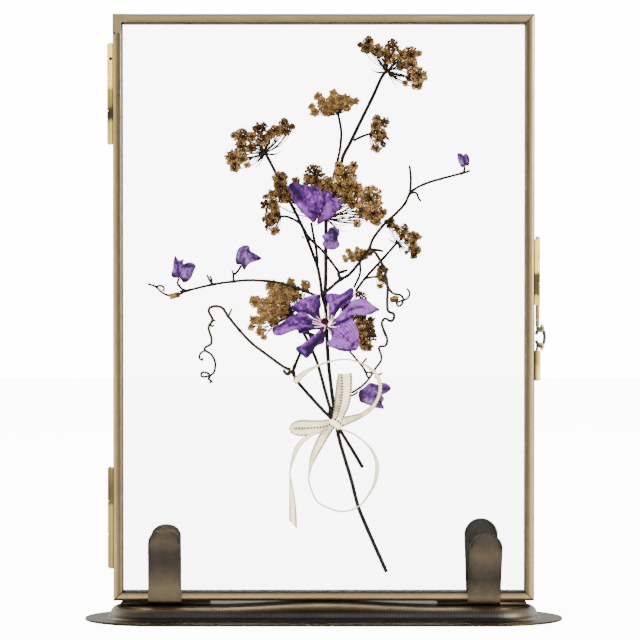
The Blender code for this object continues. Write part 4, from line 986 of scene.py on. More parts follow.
def make_clasp():
    """The pinned clasp, and the split ring that keeps its pin on a small plate below."""
    low, high = 99.1 * MM, 119.8 * MM
    make_leaves("clasp", 1, low, high)
    eye_x = AXIS + 0.9 * MM
    ring_radius = 2.85 * MM
    pin_eye = 91.75 * MM
    plate_eye = pin_eye - 2 * ring_radius
    pin = wire("clasp_rod", [(AXIS, 0, high + 0.9 * MM), (AXIS, 0, high), (AXIS, 0, 100 * MM),
                             (AXIS, 0, pin_eye + 1.5 * MM), *eye_course(eye_x, pin_eye, False)],
               [0.72 * MM] * 3 + [0.66 * MM] + [0.5 * MM] * 31, 0.72)
    settle(pin, "fittings", "clasp_pin", angle=40)
    opening, tilt = math.radians(20), math.radians(122)
    angles = [opening + (FULL_TURN - 2 * opening) * step / 60 for step in range(61)]
    ring = wire("clasp_ring", [(eye_x + ring_radius * math.cos(a) * math.cos(tilt),
                                -ring_radius * math.cos(a) * math.sin(tilt),
                                pin_eye - ring_radius + ring_radius * math.sin(a)) for a in angles],
                0.54 * MM, 0.14)
    settle(ring, "fittings", "tether_ring", angle=40)
    top = plate_eye - 1.3 * MM
    plate = plate_box("tether", (BAR_SIDE + TOUCH, -HALF_DEPTH + 0.4 * MM, 75.3 * MM),
                      (FLANK + 1.6 * MM, 0.35 * MM, top), 0.22 * MM)
    root = FLANK + 0.6 * MM
    eye = wire("eye", [(root, 0, top - 2 * MM), (root, 0, top - 0.4 * MM),
                       *eye_course(eye_x, plate_eye, True)], 0.46 * MM, 0.6)
    plate = joined("tether_plate_piece", [plate, eye])
    across = plate.location.x - FLANK
    # The plate is darker beside the bar and brighter towards its outer edge.
    fitting(plate, "tether_plate", lambda co: np.interp(co.x + across, (0.1 * MM, 1.2 * MM), (0.1, 1.3)))


# ---------------------------------------------------------------- dried wild carrot

# Heads of one crown seen from the side, as (across, up, radius, tone) in pixels from the hub.
CROWN_HEADS = (
    (-18.5, 29.1, 5.4, 0.42), (-20.1, 22.7, 5.7, 0.36), (-9.9, 21.4, 6.4, 0.5), (-4.8, 18.2, 5, 0.5),
    (4.8, 24, 7.7, 0.2), (2.9, 13.1, 6.4, 0.5), (13.7, 16.3, 5, 0.5), (23.3, 16.3, 8.3, 0.42),
    (31.6, 17.6, 3.2, 0.75), (23.9, 5.5, 7, 0.52), (13.7, 5.5, 5, 0.4), (32.2, -4.7, 8.3, 0.6),
    (23.3, -5.4, 5, 0.36), (30.3, -13.7, 5.7, 0.5), (18.2, -12.1, 2.9, 0.85), (-27, 26.4, 2.4, 0.3),
)
CROWN_BRACTS = (
    (-9.2, -1.9), (-13.1, -1), (-17.5, 1.9), (9.9, -15), (10.5, -10.5), (8.6, -7.3), (14, -9), (-6, 3.4),
    (16.5, -6.4), (-2.6, -1.6),
)
EDGE_HEADS = (
    (7.3, 14.6, 4.8, 0.55), (14.6, 11.4, 5.7, 0.2), (6.3, 8.3, 5.1, 0.5), (5.7, 2.5, 5, 0.5),
    (12.1, 0.6, 4.5, 0.45), (15.9, -3.9, 3.2, 0.1), (8.2, -4.5, 5, 0.55), (13.3, -9.6, 3.8, 0.2),
    (7.3, -14.7, 4, 0.6), (3.8, -14.1, 2.5, 0.7),
)
FLAT_HEADS = (
    (-19.5, 17.3, 4.5, 0.5), (-26.5, 7.7, 3.2, 0.6), (-23.9, 1.9, 4.5, 0.55), (-16.3, 12.2, 5, 0.5),
    (-13.1, 6.4, 6.4, 0.45), (-11.8, 1.3, 3.8, 0.4), (-4.8, 21.1, 4.1, 0.6), (-6.1, 12.8, 5.7, 0.5),
    (-4.2, 5.8, 5.7, 0.4), (2.2, 15.3, 5, 0.5), (2.2, 9, 5, 0.45), (8, 16.6, 3.8, 0.6),
    (11.8, 12.2, 4.5, 0.45), (8.6, 6.4, 3.8, 0.4), (17.5, 12.8, 3.5, 0.25),
)
LIGHT_HEADS = (
    (12.3, 30.4, 5, 0.5), (-2, 31.5, 5, 0.4), (-21.4, 28.4, 6, 0.6), (-10.1, 25.3, 7, 0.55),
    (0, 24.3, 7, 0.4), (-18.3, 18.2, 7, 0.5), (-8.1, 18.2, 7, 0.5), (2, 18.2, 6, 0.4), (-37.7, 13.1, 6, 0.7),
    (-27.5, 11, 6, 0.6), (-18.3, 11, 7, 0.5), (-8, 11, 6, 0.5), (-29.5, 3.9, 6, 0.6), (-18.3, 2.9, 7, 0.5),
    (-9.1, 1.9, 6, 0.4), (-38.7, -5.2, 5, 0.7), (-31.6, -6.2, 5, 0.6), (-32.6, -16.5, 5, 0.75),
    (-19.3, -6.2, 6, 0.55), (-26.5, -2.2, 5, 0.6), (-41.8, -12.4, 3, 0.8), (-29, -22.5, 3, 0.8),
    (13.5, 27, 4, 0.35),
)
DARK_HEADS = (
    (18.4, 27.4, 4, 0.15), (23.5, 23.4, 4, 0.1), (9.2, 19, 3.4, 0.6), (7, 15, 3.4, 0.6),
    (5.1, 12.1, 3.4, 0.6), (17.3, 5, 5, 0.7), (22.4, 3, 5, 0.6), (31.6, 0, 4, 0.1), (20.4, -4.2, 6, 0.8),
    (27.6, -3.2, 6, 0.2), (22.4, -10.3, 6, 0.8), (30.6, -9.3, 6, 0.12), (32.7, -16.4, 5, 0.1),
    (23.5, -18.5, 6, 0.6), (25.5, -23.6, 6, 0.65), (29.6, -26.6, 4, 0.6),
)
BROAD_HEADS = (
    (-45.6, 39.8, 8, 0.4), (-45.6, 31.7, 7, 0.3), (-53.6, 24.6, 5, 0.45), (-60.4, 22.4, 2.5, 0.7),
    (-44.7, 23.7, 8, 0.35), (-39.4, 20.1, 5, 0.35), (-37.6, 27.3, 5, 0.4), (-30.4, 38, 4, 0.5),
    (-11.7, 44.2, 10.7, 0.2), (-18.8, 38, 5, 0.45), (-10.8, 37.1, 6, 0.5), (-3.6, 33.5, 5, 0.5),
    (1.7, 37.1, 6, 0.5), (4.4, 31.7, 5, 0.45), (-3.6, 29.1, 3.6, 0.6), (19.6, 43.4, 11.6, 0.55),
    (27.6, 53.2, 4.5, 0.75), (12.4, 53.2, 3.6, 0.8), (14.2, 32.6, 6, 0.5), (8.9, 25.5, 4.5, 0.6),
    (23.1, 32.6, 7, 0.45), (28.5, 28.2, 9, 0.45), (20.5, 21, 7, 0.5), (26.7, 14.8, 5, 0.4),
    (43.7, 20.1, 13.4, 0.62), (47.3, 5.9, 10.7, 0.5), (35.6, 7.6, 6, 0.4), (50.8, -3.1, 4.5, 0.6),
    (56.2, 5.9, 5, 0.7), (31.2, -4.9, 4, 0.9),
)
BROAD_BRACTS = (
    (20.5, -6.6), (20.9, -13.3), (-17, 6), (-22, 10), (17, -9.5), (-14, -6.5),
)

# Each crown's heads, hub, scale, turn in degrees, whether it is mirrored, its bracts and its layer.
SPRAYS = {
    "lace_top": (CROWN_HEADS, (387.5, 70.1), 1, 0, False, CROWN_BRACTS, BACK_LAYER),
    "lace_left": (CROWN_HEADS, (265.6, 152), 1, 0, True, CROWN_BRACTS, BACK_LAYER),
    "lace_small": (CROWN_HEADS, (398.1, 241.3), 0.63, -16, False, CROWN_BRACTS, MIDDLE_LAYER),
    "lace_side": (EDGE_HEADS, (370.2, 132.9), 1, 0, False, (), BACK_LAYER),
    "lace_low": (EDGE_HEADS, (281.3, 215.7), 1, 0, True, ((5, -6), (3, 8)), MIDDLE_LAYER),
    "lace_tip": (EDGE_HEADS, (376.5, 276), 0.63, 0, False, (), MIDDLE_LAYER),
    "lace_pale": (FLAT_HEADS, (338.6, 113.2), 1, 0, False, (), PALE_LAYER),
    "lace_inner": (FLAT_HEADS, (360.5, 260.4), 0.6, 0, False, (), MAIN_LAYER),
    "lace_light": (LIGHT_HEADS, (293, 313.8), 1, 0, False, (), BACK_LAYER),
    "lace_dark": (DARK_HEADS, (340, 320), 1, 0, False, (), BACK_LAYER),
    "lace_main": (BROAD_HEADS, (326.5, 218), 1, 0, False, BROAD_BRACTS, MAIN_LAYER),
}

SECOND_STEM = (
    (303.3, 331.3), (307.3, 338.5), (313.5, 351.7), (318.9, 365.9), (331, 409.2), (340.3, 428.9),
    (352.5, 449), (363.4, 467.4),
)
LEANING_STEM = (
    (301, 351.8), (295.5, 364.6), (293.8, 372.5), (299.1, 382.4), (319.5, 405.4), (334, 420),
)
KNOT_CURL = (
    (336.2, 418), (332.6, 416.4), (329.8, 413), (330.4, 408.8), (333.2, 407.4), (334.2, 410.6), (332, 413.6),
)

# Each crown's stems, as (width at its start, width at its end, knots, course).
STEMS = {
    "lace_top": (
        (0.29, 0.33, (), ((387.5, 70.1), (382, 76.6), (373, 96.5), (362.3, 118), (351.5, 140.2),
         (343.9, 154.7), (341, 166), (336, 188), (329, 209))),),
    "lace_side": (
        (0.15, 0.17, (), ((370.2, 132.9), (361.2, 136.1), (353.9, 139.8))),),
    "lace_pale": (
        (0.17, 0.2, (), ((338.6, 113.2), (341.6, 130), (340.8, 145.5), (338, 160), (331.5, 185),
         (326, 206))),),
    "lace_left": (
        (0.24, 0.3, ((309, 238, 0.5),), ((265.6, 152), (271.2, 162.4), (277.3, 174.6), (284, 190),
         (293.5, 207), (303, 226.5), (312.1, 250), (317.6, 265), (320.4, 278), (321.5, 286), (322.3, 292),
         (323.8, 299.5), (326.4, 307.5))),
        (0.17, 0.2, (), ((311.6, 221.5), (313.2, 231), (316.8, 250), (318, 263)))),
    "lace_light": (
        (0.2, 0.2, (), ((293, 313.8), (303, 322), (311, 336))),),
    "lace_dark": (
        (0.2, 0.2, (), ((340, 320), (341, 327), (335, 341))),),
    "lace_main": (
        (0.34, 0.38, ((326.4, 222, 0.2),), ((326.5, 218), (326.2, 245), (326.2, 274.8), (325.6, 297.8),
         (326.8, 320.7), (328.4, 355.7), (331, 381.2), (334.8, 410.5), (338, 431), (343, 450.6),
         (351.4, 478.2), (358.3, 505), (365.9, 524.1), (376.6, 548.6), (387.3, 572.3))),),
    "lace_inner": (
        (0.13, 0.14, (), ((360.5, 260.4), (360.6, 272.5), (357, 281.5), (354.3, 287))),),
    "lace_low": (
        (0.14, 0.2, ((309.5, 237, 0.5),), ((281.3, 215.7), (289.8, 216.6), (301.4, 223.8), (309.5, 237),
         (324.5, 251.8), (339.4, 271.4))),),
    "lace_small": (
        (0.17, 0.18, (), ((398.1, 241.3), (380.7, 261), (366.9, 275.9), (356.3, 290))),
        (0.1, 0.1, (), ((376.5, 276), (371.5, 276.6), (365, 278)))),
}

PALE_CROWNS = ("lace_pale", "lace_light", "lace_inner")
FLORET_SIZE = 1.55
SMALL_SCALE = 0.8
STAR_TONE = 0.22


def add_floret(heap, rng, centre, radius, tone):
    """One tiny dried flower: a dark heart, and petals that pale and curl towards their tips."""
    turn = rng.uniform(0, FULL_TURN)
    squash = rng.uniform(0.75, 1.0)
    lean = rng.uniform(0, math.pi)
    cos_l, sin_l = math.cos(lean), math.sin(lean)
    curl = rng.uniform(-0.3, 0.3)
    points, tones = [(0.0, -0.5, 0.0), (0.0, 0.3, 0.0)], [tone * 0.3, tone * 0.4]
    for i in range(10):
        angle = turn + math.pi * i / 5
        reach = rng.uniform(0.95, 1.4) if i % 2 else rng.uniform(0.50, 0.68)
        points.append((reach * math.cos(angle), (curl if i % 2 else 0.1) - 0.05, reach * math.sin(angle)))
        tones.append(tone + (0.55 if i % 2 else -0.14) + rng.uniform(-0.15, 0.15))
    moved = []
    for x, y, z in points:
        a, c = x * cos_l + z * sin_l, (-x * sin_l + z * cos_l) * squash
        moved.append((centre[0] + radius * (a * cos_l - c * sin_l), centre[1] + radius * y,
                      centre[2] + radius * (a * sin_l + c * cos_l)))
    faces = []
    for i in range(10):
        j = (i + 1) % 10
        faces += [(0, 2 + i, 2 + j), (1, 2 + j, 2 + i)]
    heap.add(moved, faces, HEAD_FINISH, tones)


def add_head(heap, rng, x, z, depth, radius, tone, grain, spoke_tone):
    """A small head of a crown: spokes from its middle, each with a tiny flower at its end."""
    star = tone <= STAR_TONE
    if star:
        add_star(heap, rng, x, z, depth - 0.15 * MM, radius, tone)
    count = max(8, int(1.9 * (radius / (grain * PIXEL)) ** 2))
    # A back layer of florets, dimmed as painted shade in the gaps between the front ones, then the front
    # layer.
    for layer, share, dim in ((0.32, 0.75, 0.55), (0.0, 1.0, 1.0)):
        number = int(count * share * (0.5 if star else 1.0))
        for k in range(number):
            if rng.random() < 0.03:
                continue
            reach = radius * (0.93 * math.sqrt((k + 0.6) / number) + rng.uniform(-0.06, 0.1))
            angle = GOLDEN_TURN * (k + 0.5 * dim) + rng.uniform(-0.35, 0.35)
            px = x + reach * math.cos(angle)
            pz = z + reach * math.sin(angle)
            py = depth + (layer + rng.uniform(-0.16, 0.16)) * MM
            out = reach / radius
            local = dim * (tone + 0.12) * (0.28 + 1.15 * out) + rng.uniform(-0.22, 0.26)
            add_floret(heap, rng, (px, py, pz), grain * PIXEL * rng.uniform(0.95, 1.5), local)
            if out > 0.4 and dim == 1.0 and k % 2:
                heap.rod([(x, depth + 0.1 * MM, z), (px, py, pz)], [0.08 * MM, 0.05 * MM], 3,
                         STEM_FINISH, 0.3)
    phase = rng.uniform(0, FULL_TURN)
    spokes = 0 if star else rng.randint(7, 9)
    slim = min(1.0, radius / (4.6 * PIXEL))
    for k in range(spokes):
        angle = phase + FULL_TURN * k / spokes + rng.uniform(-0.25, 0.25)
        reach = radius * rng.uniform(0.55, 1.0)
        heap.rod([(x + reach * share * math.cos(angle), depth - (0.16 + 0.08 * share) * MM,
                   z + reach * share * math.sin(angle)) for share in (0.0, 0.75, 0.88, 1.0)],
                 [r * MM * slim for r in (0.13, 0.07, 0.17, 0.06)], 5, HEAD_FINISH, spoke_tone)


def add_star(heap, rng, x, z, depth, radius, tone):
    """The dark pointed bracts that stand out round some of the heads."""
    count = rng.randint(7, 9)
    phase = rng.uniform(0, FULL_TURN)
    for k in range(count):
        angle = phase + FULL_TURN * k / count + rng.uniform(-0.2, 0.2)
        along = Vector((math.cos(angle), 0, math.sin(angle)))
        across = Vector((-along.z, 0, along.x))
        length = radius * rng.uniform(0.95, 1.3)
        width = radius * rng.uniform(0.13, 0.19)
        root = Vector((x, depth - 0.12 * MM, z))
        points = [root, root + along * length * 0.45 + across * width, root + along * length,
                  root + along * length * 0.45 - across * width,
                  root + along * length * 0.5 + Vector((0, -0.12 * MM, 0)),
                  root + along * length * 0.5 + Vector((0, 0.12 * MM, 0))]
        faces = [(0, 1, 4), (1, 2, 4), (2, 3, 4), (3, 0, 4), (1, 0, 5), (2, 1, 5), (3, 2, 5), (0, 3, 5)]
        heap.add(points, faces, HEAD_FINISH,
                 [0.02, tone + 0.15, tone + 0.35, tone + 0.1, tone * 0.8, tone * 0.8])


def add_spray(heap, name):
    """The rays, bracts and heads of one crown."""
    heads, hub, scale, turn, mirrored, bracts, layer = SPRAYS[name]
    rng = random.Random(sum(map(ord, name)))
    turn = math.radians(turn)
    small = scale < SMALL_SCALE
    x0, z0 = spot(*hub)

    def place(across, up):
        across = -across if mirrored else across
        return (x0 + scale * PIXEL * (across * math.cos(turn) - up * math.sin(turn)),
                z0 + scale * PIXEL * (across * math.sin(turn) + up * math.cos(turn)))

    heap.rod([(x0, layer + 0.2 * MM, z0 - 0.2 * MM), (x0, layer, z0), (x0, layer - 0.2 * MM, z0 + 0.1 * MM)],
             [0.2 * MM, 0.3 * MM, 0.2 * MM], 8, STEM_FINISH, 0.1)
    for across, up, radius, tone in heads:
        x, z = place(across, up)
        depth = layer + rng.uniform(-0.08, 0.08) * MM
        for _ in range(1 if small else 3 if radius > 4.4 else 2):
            sway = rng.uniform(-0.14, 0.14)
            start = Vector((x0, layer + rng.uniform(-0.15, 0.15) * MM, z0))
            end = Vector((x + rng.uniform(-0.45, 0.45) * radius * PIXEL * scale, depth + 0.12 * MM,
                          z + rng.uniform(-0.45, 0.45) * radius * PIXEL * scale))
            across_ray = Vector((-(end.z - start.z), 0, end.x - start.x))
            bow = [start.lerp(end, t) + across_ray * sway * math.sin(math.pi * t)
                   for t in (0, 0.2, 0.4, 0.6, 0.8, 1)]
            heap.rod(bow, [r * MM * (0.6 + 0.4 * scale) for r in (0.13, 0.15, 0.16, 0.17, 0.17, 0.16)], 5,
                     STEM_FINISH, 0.35)
        lift = 0.35 if name == "lace_inner" else 0.0
        add_head(heap, rng, x, z, depth, radius * scale * PIXEL, tone + lift,
                 FLORET_SIZE * (0.75 if small else 1.0), 0.25 if name in PALE_CROWNS else -0.05)
    for across, up in bracts:
        x, z = place(across, up)
        start = Vector((x0, layer + 0.1 * MM, z0))
        end = Vector((x, layer + rng.uniform(-0.1, 0.2) * MM, z))
        drop = Vector((0, 0, -0.12 * (end - start).length))
        bow = [start.lerp(end, t) + drop * math.sin(math.pi * t) for t in (0, 0.25, 0.5, 0.75, 1)]
        heap.rod(bow, [r * MM for r in (0.22, 0.20, 0.17, 0.14, 0.06)], 5, STEM_FINISH, 0.45)


def make_carrot():
    """Every spray with its own stem, then the two stems whose crowns are gone."""
    for name, strands in STEMS.items():
        heap = Heap()
        for start, end, knots, course in strands:
            heap.stalk(course, (start, end), SPRAYS[name][6], finish=STEM_FINISH, knots=knots, tone=0.3)
        for crown in (name, "lace_tip") if name == "lace_small" else (name,):
            add_spray(heap, crown)
        pale = name in PALE_CROWNS
        settle(heap.piece(name + "_spray", DARK_STEM, PALE_CARROT_HEAD if pale else CARROT_HEAD),
               "pale_head" if pale else "dry_head", name)
    second = Heap()
    second.stalk(SECOND_STEM, (0.24, 0.34), MIDDLE_LAYER, knots=((311.4, 334.4, 0.4),), tone=0.35)
    second.stalk(((303.3, 331.3), (307.0, 332.0), (311.6, 334.8)), (0.2, 0.3), MIDDLE_LAYER - 0.1 * MM,
                 tone=0.2)
    second.stalk(((309.6, 334.4), (312.6, 335.2), (315.6, 337.4)), (0.7, 0.55), MIDDLE_LAYER - 0.05 * MM,
                 tone=0.15)
    settle(second.piece("stem_second_cut", DARK_STEM), "stem", "stem_second")
    leaning = Heap()
    leaning.stalk(LEANING_STEM, (0.24, 0.32), VINE_LAYER, knots=((293.9, 371.5, 0.9), (296.0, 366.0, 0.7)),
                  tone=0.3)
    leaning.stalk(KNOT_CURL, (0.16, 0.1), MIDDLE_LAYER, tone=0.3)
    settle(leaning.piece("stem_leaning_cut", DARK_STEM), "stem", "stem_leaning")


# ---------------------------------------------------------------- vines

# Each part of the vine: its piece, node, layer and finish, and its strands, written as the stems are.
VINES = (
    ("vine_right_run", "vine_right", VINE_LAYER, DARK_STEM, (
        (0.28, 0.12, ((341, 278.6, 1), (369.4, 248.6, 0.8), (405.3, 202.9, 0.5), (410.4, 192.7, 0.7),
         (461.5, 172.9, 1)), ((321, 294.9), (330, 288), (341, 278.6), (349.7, 273.7), (361.2, 259.9),
         (369.4, 248.6), (373.7, 237.6), (384.9, 223.3), (397.1, 212), (405.3, 202.9), (410.4, 192.7),
         (417, 187.2), (428.8, 181.9), (448.2, 176.3), (461.5, 172.9), (470.4, 170.2))),
        (0.18, 0.09, (), ((410.4, 192.7), (411.3, 178), (409.9, 164.6))),
        (0.13, 0.08, (), ((410.4, 192.7), (416.5, 192.1), (419.1, 197.8), (421.6, 200.6))),
        (0.34, 0.14, ((344, 271.6, 0.5),), ((341, 278.6), (338.8, 272.4), (341.6, 271.4), (344.8, 270.4),
         (348.2, 269))),
        (0.22, 0.12, (), ((369.4, 248.6), (377, 249.2), (383.9, 250.6))),
        (0.12, 0.12, (), ((464.9, 165.6), (464.8, 168.6), (464, 172.2))))),
    ("vine_right_tendril", "vine_right_fall", VINE_LAYER, OLIVE_STEM, (
        (0.24, 0.15, ((388, 285.5, 0.4), (385.2, 331.8, 0.4)), ((371.6, 250.6), (375.6, 252), (380.8, 260),
         (384.6, 268), (388, 285.5), (387.7, 300.4), (388.6, 310.2), (393.9, 312.9), (394.4, 317.3),
         (391.3, 320.4), (385.4, 317.8), (382.3, 322.7), (385, 331.6), (387.7, 338.8), (385.9, 345),
         (379.5, 346.8), (382, 358.2), (375.6, 368.4), (368, 379.9), (361, 386.5), (352.4, 392.1))),
        (0.15, 0.09, (), ((387.7, 285), (393, 292.3), (400.2, 294.1, 0.1), (403.6, 297.6, 0.2),
         (402.5, 303, 0.3), (399, 305.4, 0.4), (397.2, 302.2, 0.4), (401.1, 300.4, 0), (407.3, 298, -0.2),
         (410.3, 293, -0.2), (407.4, 287.4, -0.2))),
        (0.13, 0.11, ((365.5, 370.3, 0.8),), ((350.1, 350.6), (361.5, 364), (365.5, 370.3), (368.4, 377.2))),
        (0.12, 0.08, (), ((375.3, 377.2), (379, 374.4), (382.7, 372.4))),
        (0.1, 0.05, (), ((361.4, 363.8), (364.6, 360.6), (367.6, 357.2))),
        (0.1, 0.05, (), ((366.4, 371.8), (370.4, 371.6), (374, 372.6))),
        (0.12, 0.06, (), ((351.4, 395.2), (355, 393.8), (358.4, 391.2))))),
    ("vine_left_run", "vine_left", MIDDLE_LAYER, DARK_STEM, (
        (0.24, 0.08, ((234.1, 280.8, 0.8), (213.5, 283.7, 0.8), (188.2, 289.8, 0.8)), ((321, 297.5),
         (311.8, 293), (300, 288.2), (286.9, 284), (272, 280.8), (249.1, 279.5), (234.1, 280.8),
         (213.5, 283.7), (188.2, 289.8), (180, 293.4), (170, 295), (161.8, 291.3), (156.1, 286),
         (148, 283.1))),
        (0.09, 0.07, (), ((156.6, 286), (160.1, 284.9), (163.5, 286), (164.3, 288.3), (163, 290.3))),
        (0.13, 0.12, (), ((188.2, 289.8), (183.6, 288.9), (180.2, 286), (177.9, 282), (179.6, 277.4))),
        (0.12, 0.07, (), ((213.5, 283.7), (210, 279.7), (207.2, 273.8))),
        (0.1, 0.07, (), ((212.3, 281.6), (211.6, 278), (210.3, 275.1))),
        (0.14, 0.12, (), ((234.1, 281.3), (233.9, 274.5), (236.4, 272.2), (239.3, 268.8), (241.6, 264.8))),
        (0.09, 0.06, (), ((233.9, 274.9), (233.2, 272), (232.4, 269.4))),
        (0.08, 0.06, (), ((187.1, 289.9), (183.6, 290.2), (179.6, 290.9))))),
    ("vine_falling_run", "vine_falling", VINE_LAYER, OLIVE_STEM, (
        (0.24, 0.09, ((239.9, 329.6, 0.6), (228.4, 315.3, 0.6), (212.9, 319.3, 0.6), (291, 369, 0.5)),
         ((291.2, 369), (283.5, 365.8), (266.3, 353.2), (252.5, 342.8), (239.9, 329.6), (228.4, 315.3),
         (222.7, 307.2), (215.8, 305.5), (210, 307.2), (209.5, 311.8), (212.9, 319.3), (208.9, 326.8),
         (211.7, 337.1), (211.2, 343.4), (205.4, 346.9), (206, 350), (211.8, 354), (215.5, 362),
         (214.3, 371.6), (208, 375.6, 0.1), (202, 375.6, 0.3), (202.4, 371.8, 0.4), (208, 372.4, 0.4),
         (210.4, 375.6, 0.3), (209, 378.4, 0.2), (212.3, 380.7, 0.1), (209.5, 382.1, 0.1))),
        (0.11, 0.08, (), ((205.6, 349.6), (201, 352.6), (199.7, 357), (202.4, 359.4), (203.2, 357.2))),
        (0.12, 0.03, (), ((229, 315.3), (230.6, 311.4), (232.4, 307.8))),
        (0.4, 0.2, (), ((291.2, 369), (288.7, 373.3), (285.6, 372), (283.9, 369))),
        (0.12, 0.05, (), ((212.9, 319.3), (216.3, 320.1))),
        (0.1, 0.06, (), ((211.7, 320.8), (211, 323.6), (212.3, 325.6), (214.6, 324.5))))),
)
STRAND_STEP = 0.006 * MM


def make_vines():
    for name, node, layer, material, strands in VINES:
        heap = Heap()
        for index, (start, end, knots, course) in enumerate(strands):
            heap.stalk(course, (start, end), layer + STRAND_STEP * index, knots=knots, tone=0.4)
        settle(heap.piece(name, material), "stem", node)


# ---------------------------------------------------------------- petals

